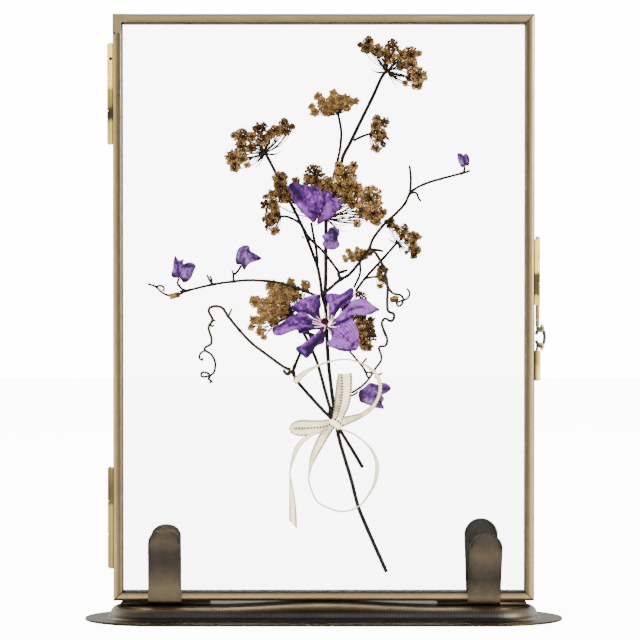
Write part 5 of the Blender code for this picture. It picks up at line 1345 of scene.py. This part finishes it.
# Each petal's piece, node, finish, layer, tone, grain, base, tip, outline and creases. A crease is its lift,
# its reach and its points. A fold's lift is negative: it sinks the petal and darkens it with painted shade,
# while a crest's lift raises it and paints it paler, a painted highlight.
PETALS = (
    ("bloom_petal_1", "large_petal_1", VIOLET, UNDER_PETAL_LAYER, 0.5, 1, (323.6, 321.5), (300, 297), (
        (320.4, 293.8), (315.5, 294), (311, 295.2), (306.3, 296.6), (300.2, 299.9), (292, 306.6),
        (296, 310.4), (299.6, 312.8), (304, 312.4), (309, 313.6), (312.6, 316.4), (316.2, 320.8),
        (320.6, 323.4), (322.6, 320.4), (320.9, 316.4), (319.9, 309.2), (321.3, 304.6), (320.5, 299)), (
        (-0.6, 1.9, (293, 307), (299, 311), (306, 310.5), (312, 314)),
        (-0.6, 1.5, (319.6, 296), (319.4, 304), (318, 310), (319.4, 316)),
        (-0.25, 2, (314, 306), (317, 313)), (-0.2, 1, (299, 303), (306, 303.5)),
        (0.3, 1.8, (302, 299.6), (309, 303), (314, 310)), (0.35, 1.6, (308, 296.8), (316, 295)),
        (0.25, 1.3, (296, 305), (303, 307)))),
    ("bloom_petal_2", "large_petal_2", VIOLET, OVER_PETAL_LAYER, 0.5, 1, (325, 326), (274, 330), (
        (272.7, 329.3), (275.7, 326.2), (283.9, 321.1), (291, 316), (297.1, 312.9), (301.6, 311.2),
        (306, 312.8), (309.6, 315.6), (314, 319.2), (319.4, 322.8), (324.6, 325.6), (323, 328.4),
        (314.8, 328.6), (307.6, 330.4), (303, 332.4), (299.4, 332.4), (297.6, 329), (291, 330.8),
        (280.8, 334.6), (274.7, 333.4)), (
        (-0.75, 1.7, (299, 331.5), (304, 329), (312, 328), (320, 327.6)),
        (-0.35, 1.3, (272, 330), (278, 326.5), (286, 321.5)),
        (-0.5, 1.6, (303, 317), (309, 320), (315, 324)),
        (-0.35, 0.9, (290, 325), (300, 322.5), (310, 323.5)),
        (0.4, 2.4, (276, 332), (284, 330.6), (294, 327.5)), (0.35, 1.8, (300, 313), (303.5, 315)),
        (0.25, 1.2, (294, 319.5), (304, 325), (313, 326)))),
    ("bloom_petal_3", "large_petal_3", VIOLET, UNDER_PETAL_LAYER, 0.36, 1, (326.2, 326.5), (300, 353), (
        (326, 328.4), (325.2, 334), (324.2, 341.6), (320, 343.8), (316.4, 345.6), (313.2, 350.6),
        (310.4, 354.4), (306.3, 357.3), (303.3, 354.8), (299, 351.6), (296.6, 348.8), (297.4, 346.4),
        (301.7, 344.4), (308.4, 339.2), (315.5, 333.8), (321.4, 328.8)), (
        (-0.75, 2.4, (324.5, 331), (322, 337), (317, 341), (312, 347), (309, 353)),
        (-0.4, 1.1, (298, 349.5), (303, 352.5)), (-0.35, 1.2, (313, 343), (306, 349)),
        (0.5, 1.1, (321, 330.4), (311, 338.8), (302, 345.6)), (0.35, 1.5, (302, 348.6), (305, 352)))),
    ("bloom_petal_4", "large_petal_4", VIOLET, OVER_PETAL_LAYER, 0.74, 1, (328.2, 325), (354, 347), (
        (328.8, 326.6), (334.6, 326.9), (339.6, 325.9), (343.4, 324.2), (346, 322), (348.4, 320.4),
        (352, 318.4), (353.9, 320.8), (356.3, 326), (358.2, 332), (358.9, 338), (358.5, 345.8),
        (356.8, 349), (351.2, 350.2), (346.3, 350.5), (339.6, 349.4), (334.9, 347.6), (330.6, 345.8),
        (327.6, 343.4), (328.8, 340.6), (331.6, 338.4), (332, 335.4), (330, 331.4)), (
        (-0.6, 1.2, (337, 349), (347, 350), (356, 348.4)), (-0.4, 1.8, (352, 345.6), (357.6, 340)),
        (-0.7, 1.3, (330.4, 329), (333, 332.5)), (-0.35, 0.9, (338, 330), (345, 336), (353, 344)),
        (-0.3, 1.2, (344, 328), (347, 331)), (0.35, 2.6, (340, 330), (349, 328), (353, 323)),
        (0.4, 2.4, (332, 343.6), (341, 341), (348, 343)), (0.3, 1.5, (355, 327), (357.6, 334)))),
    ("bloom_petal_5", "large_petal_5", VIOLET, UNDER_PETAL_LAYER, 0.8, 1, (328.8, 324.6), (379.8, 308.9), (
        (330.2, 324.8), (333, 320.4), (336.8, 317), (340.4, 313.8), (343, 310.8), (347.5, 306.6),
        (351, 302), (354.6, 299.2), (362.4, 298.5), (368.6, 300.5), (373.7, 304.8), (379.8, 308.9),
        (375.7, 310.9), (371.6, 313.5), (366.5, 314), (360.4, 313.8), (354, 314.4), (352.4, 316.8),
        (348.6, 319.8), (344.6, 322.6), (340, 324.6), (336, 325.8)), (
        (-0.75, 1.5, (333, 324.4), (340, 322), (347, 318.8), (353, 315.4)),
        (-0.4, 1.2, (349, 309.5), (357, 306.4), (364, 306)), (-0.3, 1, (378, 309.5), (370, 312.6)),
        (-0.3, 1.2, (346, 313), (350, 308)), (0.45, 2, (354, 302), (364, 302), (372, 306)),
        (0.4, 1.7, (356, 310.6), (366, 310.6)), (0.3, 1, (342.6, 318.6), (346, 312.6)))),
    ("bloom_petal_6", "large_petal_6", VIOLET, OVER_PETAL_LAYER, 0.56, 1, (329.4, 321.5), (351, 288.5), (
        (329.8, 319.4), (329.2, 312), (328.2, 304), (327.1, 298.4), (326.4, 294.4), (329.4, 293),
        (333.4, 292.8), (339.6, 293.7), (343.2, 292.6), (347, 290), (351, 287.4), (353.6, 288.6),
        (353.8, 292.8), (352.8, 297), (348.2, 301.8), (343.4, 305), (340, 308), (337.2, 311.8),
        (335.2, 315.8), (334, 319.8)), (
        (-0.7, 1.9, (351, 295.4), (346, 299.4), (340, 304.8), (335.4, 311.4)),
        (-0.6, 1.5, (332.6, 313), (331.8, 318)), (-0.45, 1.1, (352.4, 289.6), (348, 292.6)),
        (-0.3, 0.9, (336, 297), (341, 296.6)), (0.4, 1.5, (330.6, 295.6), (333, 303), (333.6, 309)),
        (0.35, 1.6, (338, 299.6), (345, 296.2)), (0.3, 1, (350, 291.6), (347.6, 295.6)))),
    ("side_bloom_left", "side_petal_left", VIOLET, OVER_PETAL_LAYER, 0.5, 1, (318, 222), (296, 184), (
        (288.5, 185.4), (293.4, 181.8), (303.2, 184.5), (308.6, 185.4), (317.5, 187.1), (322, 191.6),
        (323.6, 199), (321, 208), (318, 216), (314.6, 221.6), (310.6, 219), (305, 213.9), (299.6, 208.6),
        (295.2, 201.4), (292.5, 195.2)), (
        (-0.65, 3.2, (290, 184), (296, 190), (301, 198)), (-0.2, 2.4, (303, 186), (312, 190)),
        (-0.8, 1.2, (312, 211), (321, 214.5)), (-0.4, 2.4, (317, 204), (316, 216)),
        (-0.35, 1.6, (314, 188), (318, 190)), (0.3, 3, (300, 203), (307, 214)),
        (0.2, 3, (309, 193), (313, 203)), (0.2, 1.6, (320, 195), (319, 206)))),
    ("side_bloom_right", "side_petal_right", VIOLET, UNDER_PETAL_LAYER, 0.52, 1, (318, 222), (339, 198), (
        (338, 197), (342.1, 201.4), (338.9, 208.6), (335.4, 212.1), (330.9, 216.6), (324.6, 219.3),
        (321.1, 222.4), (317.6, 222), (319.6, 214.6), (323.4, 206.6), (330.9, 198.8)), (
        (-0.3, 1.6, (322, 209), (320, 216)), (-0.15, 1.2, (333, 200), (328, 207)),
        (0.35, 2.6, (331, 203), (326, 213)), (0.25, 1.6, (338, 199), (338, 206)))),
    ("side_bloom_small", "side_petal_small", VIOLET, VINE_LAYER, 0.55, 1, (322, 208), (329, 190.5), (
        (323.8, 192.5), (328.2, 190.3), (331.8, 193.4), (331.2, 197.4), (326, 203), (322.6, 207)), (
        (-0.6, 1.2, (324.4, 195), (323.4, 204)), (0.2, 1.6, (329, 193), (327, 199)))),
    ("small_bloom_petals", "small_bloom", VIOLET_BUD, OVER_PETAL_LAYER, 0.52, 1, (329, 253), (333, 226), (
        (334.5, 226.4), (338.6, 229), (339.8, 232.7), (338, 238), (339.8, 244.3), (336.8, 247.6),
        (332.7, 248.8), (327, 247.6), (322.9, 243.4), (325, 239.6), (322.4, 235.4), (328, 232),
        (330, 227.6)), (
        (-0.6, 2.2, (333, 229), (336, 233), (336, 237.5)),
        (-0.4, 1.2, (324, 239), (331, 240), (338, 239)), (-0.35, 1.2, (330, 229), (331, 236)),
        (0.15, 2, (326, 243), (335, 246)), (0.15, 1.6, (325.5, 235.5), (329, 235)))),
    ("low_bloom_petals", "low_bloom", VIOLET_BUD, UNDER_PETAL_LAYER + 0.04 * MM, 0.55, 1,
     (361, 394), (388, 390), (
        (359.2, 393.3), (360.4, 389.8), (363.8, 387.6), (370.7, 382.4), (377.6, 384), (381, 382.4),
        (386.8, 383), (391.4, 387.6), (386.8, 392.1), (382.2, 394.4), (384.5, 397.9), (382.2, 402.5),
        (384.5, 407.6), (377.6, 407.1), (371.8, 405.3), (365, 402.5), (360.4, 400.2)), (
        (-0.4, 2, (372, 384), (381, 388), (388, 388)), (-0.5, 2, (376, 396), (382, 404)),
        (-0.35, 1.6, (362, 392), (370, 394)), (0.35, 2.6, (364, 399), (373, 402)),
        (0.2, 1.8, (374, 389), (382, 391)))),
    ("bud_left_petals", "bud_left", VIOLET_BUD, VINE_LAYER, 0.55, 0.75, (179.6, 277.4), (186, 262), (
        (175.6, 255), (177.9, 258.5), (180.2, 260.2), (183.6, 258.5), (183.6, 263.6), (189.4, 261.6),
        (192.8, 262.5), (196, 264.8), (195.1, 268.2), (193.4, 271.7), (191.7, 276.3), (188.2, 280.3),
        (183.6, 281.4), (181.9, 279.1), (179.6, 276.8), (174.4, 276.8), (171.9, 274), (173.5, 268.2),
        (174.1, 261.3)), (
        (-0.6, 1, (178.4, 263), (178.2, 271), (180, 275)),
        (-0.5, 1.6, (184, 264), (190, 265), (194, 266)), (-0.35, 1.4, (176, 257), (177, 262)),
        (-0.4, 1.4, (182, 262), (186, 266)), (0.3, 2.2, (184, 270), (184, 277)),
        (0.3, 1.2, (174.5, 268), (173.6, 274)))),
    ("bud_middle_petals", "bud_middle", VIOLET_BUD, VINE_LAYER, 0.55, 0.75, (242.2, 264.2), (252, 250), (
        (246.8, 244.5), (249.6, 245.8), (250.8, 250.4), (255.9, 253.3), (261.7, 257.9), (255.9, 260.2),
        (250.2, 262.5), (246.8, 265.9), (244.7, 268.8), (242.7, 265.9), (241, 263.6), (237, 263),
        (236.2, 257.9), (237.6, 251), (241, 246.4)), (
        (-0.6, 1.4, (248, 250), (252, 252), (258, 254)), (-0.45, 1.2, (254, 257), (260, 258)),
        (-0.25, 1.4, (244, 248), (241, 256)), (-0.35, 1, (242, 263), (245, 258)),
        (0.25, 1.8, (239, 252), (238.5, 259)), (0.3, 2, (246, 256), (248, 261)))),
    ("bud_right_petals", "bud_right", VIOLET_BUD, UNDER_PETAL_LAYER, 0.55, 0.6, (465.4, 165), (462, 153.5), (
        (457.9, 153), (461, 152.9), (463.6, 155), (465, 153.6), (467.2, 153.6), (469.4, 157.4),
        (469.4, 162), (468.4, 164.9), (465.4, 165), (462.2, 166.4), (459.8, 162.6), (458.2, 158)), (
        (-0.7, 0.8, (463.4, 155), (464.6, 160), (465.6, 164.4)), (-0.45, 1.2, (459, 154), (463, 156)),
        (-0.5, 0.8, (468, 156), (469, 162)), (0.3, 1.2, (460, 160), (463, 164)),
        (0.25, 0.7, (466.6, 156), (467, 161)))),
    ("brown_leaf_bit", "brown_leaf", DRY_LEAF, MIDDLE_LAYER, 0.55, 0.6, (390.5, 299), (399, 297.6), (
        (390.5, 297.2), (394, 295.4), (398.4, 295.8), (398.9, 299), (395.6, 301.4), (391.4, 301)), (
        (-0.4, 0.9, (391, 300), (398, 299.6)), (0.3, 1, (392, 297.4), (397, 297)))),
    ("brown_sheath_bit", "brown_sheath", DRY_LEAF, VINE_LAYER, 0.55, 0.6, (179.8, 293.5), (169.4, 296), (
        (168.7, 293.8), (174, 292.6), (178.6, 291.7), (179.4, 293.4), (180.2, 295.8), (175, 297.2),
        (171, 298.4), (170.4, 296)), (
        (-0.7, 1.4, (177.6, 292.4), (179.6, 295.4)), (0.25, 1.4, (171, 295.6), (176, 295)))),
)

PETAL_SHEET = 0.09 * MM
PETAL_RIBS = 0.09
PETAL_RELIEF = 0.13
NET_ROW = 0.87

# The large bloom's long filaments, as (course, width, tone).
FILAMENTS = (
    (((323.6, 322.6), (319, 320), (313.6, 317.6)), -0.16, 0.75),
    (((323.6, 323.4), (318, 322), (312.8, 320.2)), -0.17, 0.6),
    (((323.8, 324.4), (318, 323.8), (312.6, 322.4)), -0.16, 0.85),
    (((324.2, 325.4), (319, 326.2), (314.6, 326.4)), -0.17, 0.7),
    (((322.8, 321.6), (319.6, 318), (317, 315.6)), -0.18, 0.5),
    (((330.4, 322.4), (331.6, 318.4), (332.2, 314.2)), -0.15, 0.8),
    (((331.4, 322.8), (333.2, 319.4), (334, 315.4)), -0.15, 0.65),
    (((329, 318.6), (328.9, 310), (328.6, 302.4)), -0.17, 0.9),
    (((328.6, 325.6), (332, 326), (334.6, 325.8)), -0.15, 0.85),
    (((329, 324.4), (333, 323.2), (336, 321.4)), -0.17, 0.7),
    (((327.6, 327.2), (330.6, 330.6), (332, 333)), -0.18, 0.8),
    (((325.6, 326.6), (325.2, 328.6), (324, 330.4)), -0.18, 0.6),
    (((323, 318), (322.4, 314.4), (322.6, 311)), -0.18, 0.9),
    (((325.4, 318), (325.2, 315), (325.6, 312.6)), -0.17, 0.95),
)


def inside(point, outline):
    hit = False
    x, y = point
    for (x0, y0), (x1, y1) in zip(outline, outline[1:] + outline[:1]):
        if (y0 > y) != (y1 > y) and x < (x1 - x0) * (y - y0) / (y1 - y0) + x0:
            hit = not hit
    return hit


def line_gap(points, line):
    """The distance of each point from a broken line, in pixels."""
    points = np.asarray(points, float)
    best = np.full(len(points), 1e9)
    for (x0, y0), (x1, y1) in zip(line, line[1:]):
        step = np.array((x1 - x0, y1 - y0), float)
        share = np.clip(((points - (x0, y0)) @ step) / max(step @ step, 1e-9), 0, 1)
        best = np.minimum(best, np.linalg.norm(points - (np.array((x0, y0)) + share[:, None] * step), axis=1))
    return best


def petal_net(name, outline, grain):
    """A fine net of points inside a petal's outline, its edge a little ragged."""
    rng = random.Random(sum(map(ord, name)))
    closed = smooth_course([*outline, outline[0]], 5)[:-1]
    turn = sum(x0 * y1 - x1 * y0 for (x0, y0, *_), (x1, y1, *_) in zip(closed, closed[1:] + closed[:1]))
    swell = math.copysign(0.42, turn)
    edge = []
    for i, (x, y) in enumerate(closed):
        before, after = closed[i - 1], closed[(i + 1) % len(closed)]
        out = Vector((after[1] - before[1], before[0] - after[0]))
        if out.length:
            out.normalize()
        wave = swell + 0.25 * noise.noise(Vector((x * 0.9, y * 0.9, 7.0 + len(name))))
        edge.append((x + out.x * wave, y + out.y * wave))
    (low_x, low_y), (high_x, high_y) = (tuple(map(end, zip(*edge))) for end in (min, max))
    middle = []
    row, y = 0, low_y
    while y < high_y:
        x = low_x + (grain / 2 if row % 2 else 0)
        while x < high_x:
            place = (x + rng.uniform(-0.15, 0.15) * grain, y + rng.uniform(-0.15, 0.15) * grain)
            if inside(place, edge):
                middle.append(place)
            x += grain
        y += grain * NET_ROW
        row += 1
    if middle:
        far = line_gap(middle, [*edge, edge[0]])
        middle = [p for p, d in zip(middle, far) if d > 0.45 * grain]
    flat = [Vector(p) for p in [*edge, *middle]]
    points, _, faces, *_ = delaunay_2d_cdt(flat, [], [list(range(len(edge)))], 1, 1e-5)
    return edge, np.array([(p.x, p.y) for p in points]), [tuple(f) for f in faces]


def petal_places(edge, spots, base, tip):
    """How far across and along its petal each point lies, as shares."""
    base, tip = np.array(base, float), np.array(tip, float)
    axis = tip - base
    length = float(np.linalg.norm(axis))
    axis = axis / length
    side = np.array((-axis[1], axis[0]))
    along = (spots - base) @ axis / length
    marks = np.linspace(along.min(), along.max(), 32)
    rim = np.array(edge)
    rim_along, rim_side = (rim - base) @ axis / length, (rim - base) @ side
    lows, highs = [], []
    for mark in marks:
        gap = np.abs(rim_along - mark)
        near = gap < 0.05
        near = near if near.any() else gap <= gap.min() + 0.02
        lows.append(rim_side[near].min())
        highs.append(rim_side[near].max())
    low, high = np.interp(along, marks, lows), np.interp(along, marks, highs)
    return np.clip(((spots - base) @ side - low) / np.maximum(high - low, 0.8), 0, 1), along


def make_petal(name, node, material, layer, tone, grain, base, tip, outline, creases):
    """A dried petal: its outline filled with a fine net, raised along its ribs, dark along its folds with
    painted shade and paler on its crests with painted highlight.
    """
    edge, spots, faces = petal_net(name, outline, grain)
    across, along = petal_places(edge, spots, base, tip)
    u = 2 * across - 1
    tones = np.full(len(spots), tone)
    heights = PETAL_RIBS * (np.exp(-(u / 0.13) ** 2) + 0.55 * np.exp(-((np.abs(u) - 0.5) / 0.13) ** 2))
    heights = heights - PETAL_RIBS * 0.5
    for lift, reach, *line in creases:
        share = np.exp(-(line_gap(spots, line) / reach) ** 2)
        # Painted shade along the folds, painted highlight along the crests.
        tones = tones + lift * share
        heights = heights + (0.05 if lift > 0 else 0.08) * lift * share
    crumple = np.array([noise.noise(Vector((p[0] * 0.42, p[1] * 0.42, 2.0))) for p in spots])
    fine = np.array([noise.noise(Vector((p[0] * 1.3, p[1] * 1.3, 5.0))) for p in spots])
    heights = np.clip(heights + 0.06 * crumple + 0.035 * fine, -PETAL_RELIEF, PETAL_RELIEF)
    tones = tones + 0.3 * crumple + 0.14 * fine
    corners = []
    for (px, py), height in zip(spots, heights):
        x, z = spot(px, py)
        corners.append((x, layer - height * MM, z))
    heap = Heap()
    heap.add(corners, faces, 0, [float(t) for t in tones])
    piece = heap.piece(name, material)
    laid_along(piece, list(zip(across.tolist(), along.tolist())))
    if sum(face.normal.y for face in piece.data.polygons) > 0:
        piece.data.flip_normals()
    thickened(piece, PETAL_SHEET, -1)
    finish_modifiers(piece)
    settle(piece, "dry_leaf" if material is DRY_LEAF else "petal", node, angle=60)


def add_filament(heap, rng, x0, z0, angle, start, length, tone):
    bend = rng.uniform(-0.22, 0.22)
    centres, radii = [], []
    for share in (0.0, 0.25, 0.5, 0.75, 1.0):
        reach = (start + (length - start) * share) * PIXEL
        turned = angle + bend * share * share
        centres.append((x0 + reach * math.cos(turned), OVER_PETAL_LAYER - (0.12 + 0.03 * share) * MM,
                        z0 + reach * math.sin(turned)))
        radii.append((0.075 - 0.02 * share) * MM)
    heap.rod(centres, radii, 5, 1, tone)


def make_heart():
    """The large bloom's dark red heart and the pale filaments round it."""
    rng = random.Random(11)
    heart = Heap()
    x0, z0 = spot(325.5, 320.8)
    for k in range(84):
        reach = 4.1 * PIXEL * math.sqrt((k + 0.4) / 84)
        angle = GOLDEN_TURN * k
        x, z = x0 + reach * math.cos(angle), z0 + 0.85 * reach * math.sin(angle)
        front = OVER_PETAL_LAYER - rng.uniform(0.26, 0.36) * MM
        heart.rod([(x, OVER_PETAL_LAYER + 0.04 * MM, z), (x, front, z + 0.05 * MM)], [0.2 * MM, 0.17 * MM],
                  6, 0, rng.uniform(0.0, 0.5))
    for course, width, tone in FILAMENTS:
        heart.stalk(course, (width, width * 0.7), OVER_PETAL_LAYER - 0.18 * MM, 4, 6, 1, tone=tone)
    for k in range(22):
        add_filament(heart, rng, x0, z0 - 0.3 * PIXEL, GOLDEN_TURN * k, 2.6, rng.uniform(4.2, 6.2),
                     rng.uniform(0.2, 0.95))
    settle(heart.piece("bloom_heart", HEART, FILAMENT), "heart", "large_bloom_heart")


def make_grain(name, across, down, steps, sides, tone, *nodes):
    """A loose grain: (how far right and down of its middle, its half width) in mm at each step."""
    heap = Heap()
    x, z = spot(across, down)
    heap.rod([(x + right * MM, VINE_LAYER, z - fall * MM) for right, fall, _ in steps],
             [wide * MM for *_, wide in steps], sides, 0, tone)
    settle(heap.piece(name, DRY_LEAF), "dry_leaf", *nodes)


def make_blooms():
    for petal in PETALS[:6]:
        make_petal(*petal)
    make_heart()
    for petal in PETALS[6:]:
        make_petal(*petal)
    make_grain("seed_grain", 303.2, 236.5, ((-0.5, -0.45, 0.05), (-0.3, -0.3, 0.24), (0, 0, 0.34),
                                            (0.32, 0.3, 0.24), (0.5, 0.5, 0.05)), 10, 0.5, "seed")
    make_grain("pollen_speck", 254.6, 249.2, ((-0.3, -0.3, 0.05), (0, 0, 0.16), (0.3, 0.3, 0.05)), 8, 0.2)


# ---------------------------------------------------------------- ribbon

# Each run of the ribbon: its name, its lift in mm, its tone, lower as painted shade on the run behind, and
# its (across, down, width) in pixels.
RIBBON_COURSES = (
    ("upper_tail", 0, 0.75, (
        (336, 424, 8.4), (343, 421.2, 9.6), (352, 418.2, 7.6), (361.4, 414.8, 5.4), (371.8, 407.4, 4.6),
        (378, 398.4, 3.6), (380.8, 387.6, 3.8), (378.9, 378, 4.2), (372, 369, 3), (360.4, 361.8, 1.8),
        (345, 358.6, 1.3), (328.4, 361.2, 1.5), (317.9, 365.2, 2.4), (307, 370.8, 4.4), (298.4, 378, 6.4),
        (294.6, 382.2, 5.4))),
    ("lower_tail", 0.03, 0.75, (
        (339.7, 427.8, 1.6), (345.4, 430, 1.1), (354.6, 433.4, 1.2), (365, 441.4, 1.4), (372.4, 450, 2.4),
        (377.2, 461.6, 3.6), (376.8, 476, 3.8), (371.8, 489.8, 2.4), (359.2, 505.8, 1.3), (340.8, 511, 1),
        (320.2, 503, 0.9), (313.3, 493.2, 0.9), (309.3, 479.4, 1.1), (310.6, 468, 2.8), (313, 458.6, 6),
        (318, 447, 8.6), (325, 434, 9.6), (332, 424, 9))),
    ("left_tail", 0.06, 0.8, (
        (327.6, 427, 4.4), (318, 431, 4.2), (308.7, 435.8, 4), (299.4, 444.2, 4.6), (294, 456.2, 4),
        (290.9, 467.9, 1.6), (290.4, 472.2, 1), (291, 480.6, 2.6), (292.2, 492, 5), (293, 506, 7),
        (293.4, 519.5, 7.8), (293.5, 524.2, 8))),
    ("side_loop", 0.12, 0.75, (
        (330.4, 421.6, 6.8), (322, 423.2, 7.8), (312, 423.8, 8.8), (302, 423.8, 9.4), (295.4, 424.6, 7.4),
        (291.9, 427.8, 4.4), (293.8, 430.4, 5.6), (298, 431.3, 7.6), (304, 431.4, 8.2), (312, 430.2, 7.2),
        (320, 428.6, 5), (328, 425.6, 4.2))),
    ("upright_back", 0.1, 0.42, (
        (341.6, 373, 7.2), (341.2, 377, 7.2), (340, 384, 7), (339.2, 391, 7), (338, 402, 6.4),
        (336.4, 412, 5.6), (335, 420, 5))),
    ("upright_front", 0.18, 0.8, (
        (346.4, 372.8, 11.6), (346.8, 376.4, 11.8), (347.1, 386, 11.2), (346.4, 397, 10.4), (344.2, 407, 9.4),
        (340.6, 416, 7.6), (338.6, 421, 6.6))),
    ("knot", 0.26, 0.95, (
        (330.4, 420.6, 6.4), (333.6, 421.8, 9.2), (337, 424, 9), (340.6, 427.2, 6.6))),
)

# Where the ribbon turns from the light, as (across, down, reach, share).
RIBBON_SHADES = (
    (325.5, 425.5, 6, 0.5), (338.5, 385, 4, 0.3), (337.5, 396, 4, 0.35), (337, 407, 4.5, 0.5),
    (346.5, 416.8, 5, 0.3), (358, 414.5, 8, 0.5), (369, 408.5, 4, 0.3), (328, 434, 5, 0.3),
    (314, 456, 5, 0.15), (342, 411, 4, 0.3),
)
RIBBON_CELLS = 6
RIBBON_SHEET = 0.06 * MM
TAIL_SLANT = 9.5


def ribbon_strip(heap, places, lift, tone, points, slant):
    """One run of ribbon, its width across the course, bowed a little between its corded edges."""
    course = smooth_course(points, 7)
    length = 0.0
    rows, tones = [], []
    for i, (across, down, width) in enumerate(course):
        width = max(width, 1.5)
        before, after = course[max(i - 1, 0)], course[min(i + 1, len(course) - 1)]
        along = Vector((after[0] - before[0], after[1] - before[1])).normalized()
        if i:
            length += math.hypot(across - course[i - 1][0], down - course[i - 1][1]) * PIXEL_MM
        sink = -0.12 * (i / (len(course) - 1)) if len(points) > 8 else 0.0
        # Painted shade where the ribbon narrows as it turns edge-on, and at the spots where it turns from the
        # light.
        fold = 0.6 * (1 - min(1.0, width / 5.0))
        fold += sum(amount * math.exp(-((across - a) ** 2 + (down - d) ** 2) / reach ** 2)
                    for a, d, reach, amount in RIBBON_SHADES)
        shade = tone - fold + 0.15 * noise.noise(Vector((across * 0.2, down * 0.2, 9.0)))
        for k in range(RIBBON_CELLS + 1):
            off = k / RIBBON_CELLS - 0.5
            cut = slant * off * max(0.0, 1 - (len(course) - 1 - i) / 8)
            x, z = spot(across + along.y * width * off, down - along.x * width * off + cut)
            waver = noise.noise(Vector((across * 0.3, down * 0.3, off * 3)))
            bow = 0.05 * (1 - (2 * off) ** 2) + 0.02 * waver
            rows.append((x, RIBBON_LAYER - (lift + bow + sink) * MM, z))
            tones.append(shade)
            places.append((k / RIBBON_CELLS, length))
    heap.add(rows, grid_faces(len(course) - 1, RIBBON_CELLS), 0, tones)


def make_ribbon():
    heap, places = Heap(), []
    for run, lift, tone, points in RIBBON_COURSES:
        ribbon_strip(heap, places, lift, tone, points, TAIL_SLANT if run == "left_tail" else 0.0)
    ribbon = heap.piece("ribbon_satin", SATIN)
    laid_along(ribbon, places)
    thickened(ribbon, RIBBON_SHEET)
    finish_modifiers(ribbon)
    settle(ribbon, "ribbon", "ribbon_bow", angle=60)


# ---------------------------------------------------------------- panes


def dress_panes():
    for name in ("front_pane", "back_pane"):
        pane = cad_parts[name]
        for slot in pane.material_slots:
            slot.material = GLASS


# ---------------------------------------------------------------- studio

# Each lamp's name, place, size and power, and whether polished faces mirror it.
LAMPS = (
    ("key_lamp", (-0.95, -1.0, 0.8), 0.8, 38.0, False), ("fill_lamp", (1.1, -0.8, 0.5), 0.7, 20.0, True),
    ("top_lamp", (0.0, 0.25, 1.3), 1.1, 12.0, False), ("back_lamp", (0.3, 1.2, 0.8), 0.9, 10.0, False),
)


def make_studio():
    put_down()
    bpy.ops.mesh.primitive_plane_add(size=6.0, location=(0, 0, -0.00002))
    floor = bpy.context.active_object
    floor.name = "floor"
    b = Finish("floor_paper", roughness=0.9)
    tint = b.ramp(b.noise(b.place(), 14.0, 2.0, 0.5), [(0.3, 0.90), (0.7, 0.93)])
    rays, seen = b.rays()
    mirrored = b.blend(rays["Is Glossy Ray"], tint, (0.2, 0.2, 0.2))
    b.put(base_color=b.blend(rays["Is Singular Ray"], mirrored, (0.02, 0.02, 0.02)),
          emission_color=b.blend(seen, (0, 0, 0), (1, 1, 1)), emission_strength=9.0)
    only_finish(floor, b.material)
    put_down()

    world = bpy.data.worlds.new("studio")
    world.use_nodes = True
    bpy.context.scene.world = world
    w = Bench(world.node_tree)
    _, deep, up = w.parts(w.node("TexCoord").outputs["Generated"])
    surround = w.ramp(w.span(up, -1.0, 1.0), [
        (0.0, 0.30), (0.36, 0.55), (0.50, (0.95, 0.95, 0.96)), (0.64, (0.75, 0.75, 0.76)),
        (0.74, (0.26, 0.26, 0.27)), (0.90, (0.30, 0.30, 0.31)), (0.96, 1.1), (1.0, 1.3)])
    rays, seen = w.rays()
    for share, grey in ((w.span(deep, 0.05, 0.7), 4.0), (w.span(deep, 0.93, 0.97), 0.25),
                        (w.span(w.times(deep, -1.0), 0.966, 0.988), 0.03), (rays["Is Diffuse Ray"], 3.3),
                        (seen, 16.0)):
        surround = w.blend(share, surround, (grey, grey, grey))
    w.feed(world.node_tree.nodes["Background"].inputs["Color"], surround)

    for name, place, size, power, mirrored in LAMPS:
        light = bpy.data.lights.new(name, "AREA")
        light.shape = "SQUARE"
        light.size = size
        light.energy = power
        lamp = bpy.data.objects.new(name, light)
        lamp.location = place
        lamp.visible_glossy = mirrored
        aim = Vector((0, 0, 0.09)) - Vector(place)
        lamp.rotation_euler = aim.to_track_quat("-Z", "Y").to_euler()
        bpy.context.scene.collection.objects.link(lamp)


def make_camera():
    """Set back from the frame's front, a little over half way up it, and level but for a slight dip."""
    far, eye, dip = 0.93, 0.1, math.radians(1.3)
    sensor, drawn_in = 36.0, 1.0028
    shown = PICTURE_SIZE * PIXEL
    across, down = PICTURE_CENTRE
    lens = bpy.data.cameras.new("camera")
    lens.sensor_width = sensor
    lens.lens = sensor * far / shown * drawn_in
    lens.shift_x = (across - PICTURE_MIDDLE) / PICTURE_SIZE
    middle = FRAME_BOTTOM + (PICTURE_FOOT - down) * PIXEL
    lens.shift_y = (middle - (eye - far * math.tan(dip))) / shown
    lens.clip_start = 0.01
    camera = bpy.data.objects.new("camera", lens)
    camera.location = (0, -HALF_DEPTH - far, eye)
    camera.rotation_euler = (math.pi / 2 - dip, 0, 0)
    bpy.context.scene.collection.objects.link(camera)
    bpy.context.scene.camera = camera


# ---------------------------------------------------------------- building it

make_camera()
make_stand()
for side_name, prongs in BRACKETS.items():
    make_bracket(side_name, *prongs)
for leaf_name, leaf_side in (("front", -1), ("back", 1)):
    for edge_name in ("top", "bottom", "left", "right"):
        make_bar(leaf_name, edge_name, leaf_side)
make_corner_lap()
make_hinges()
make_clasp()
dress_panes()
make_carrot()
make_vines()
make_blooms()
make_ribbon()
make_studio()
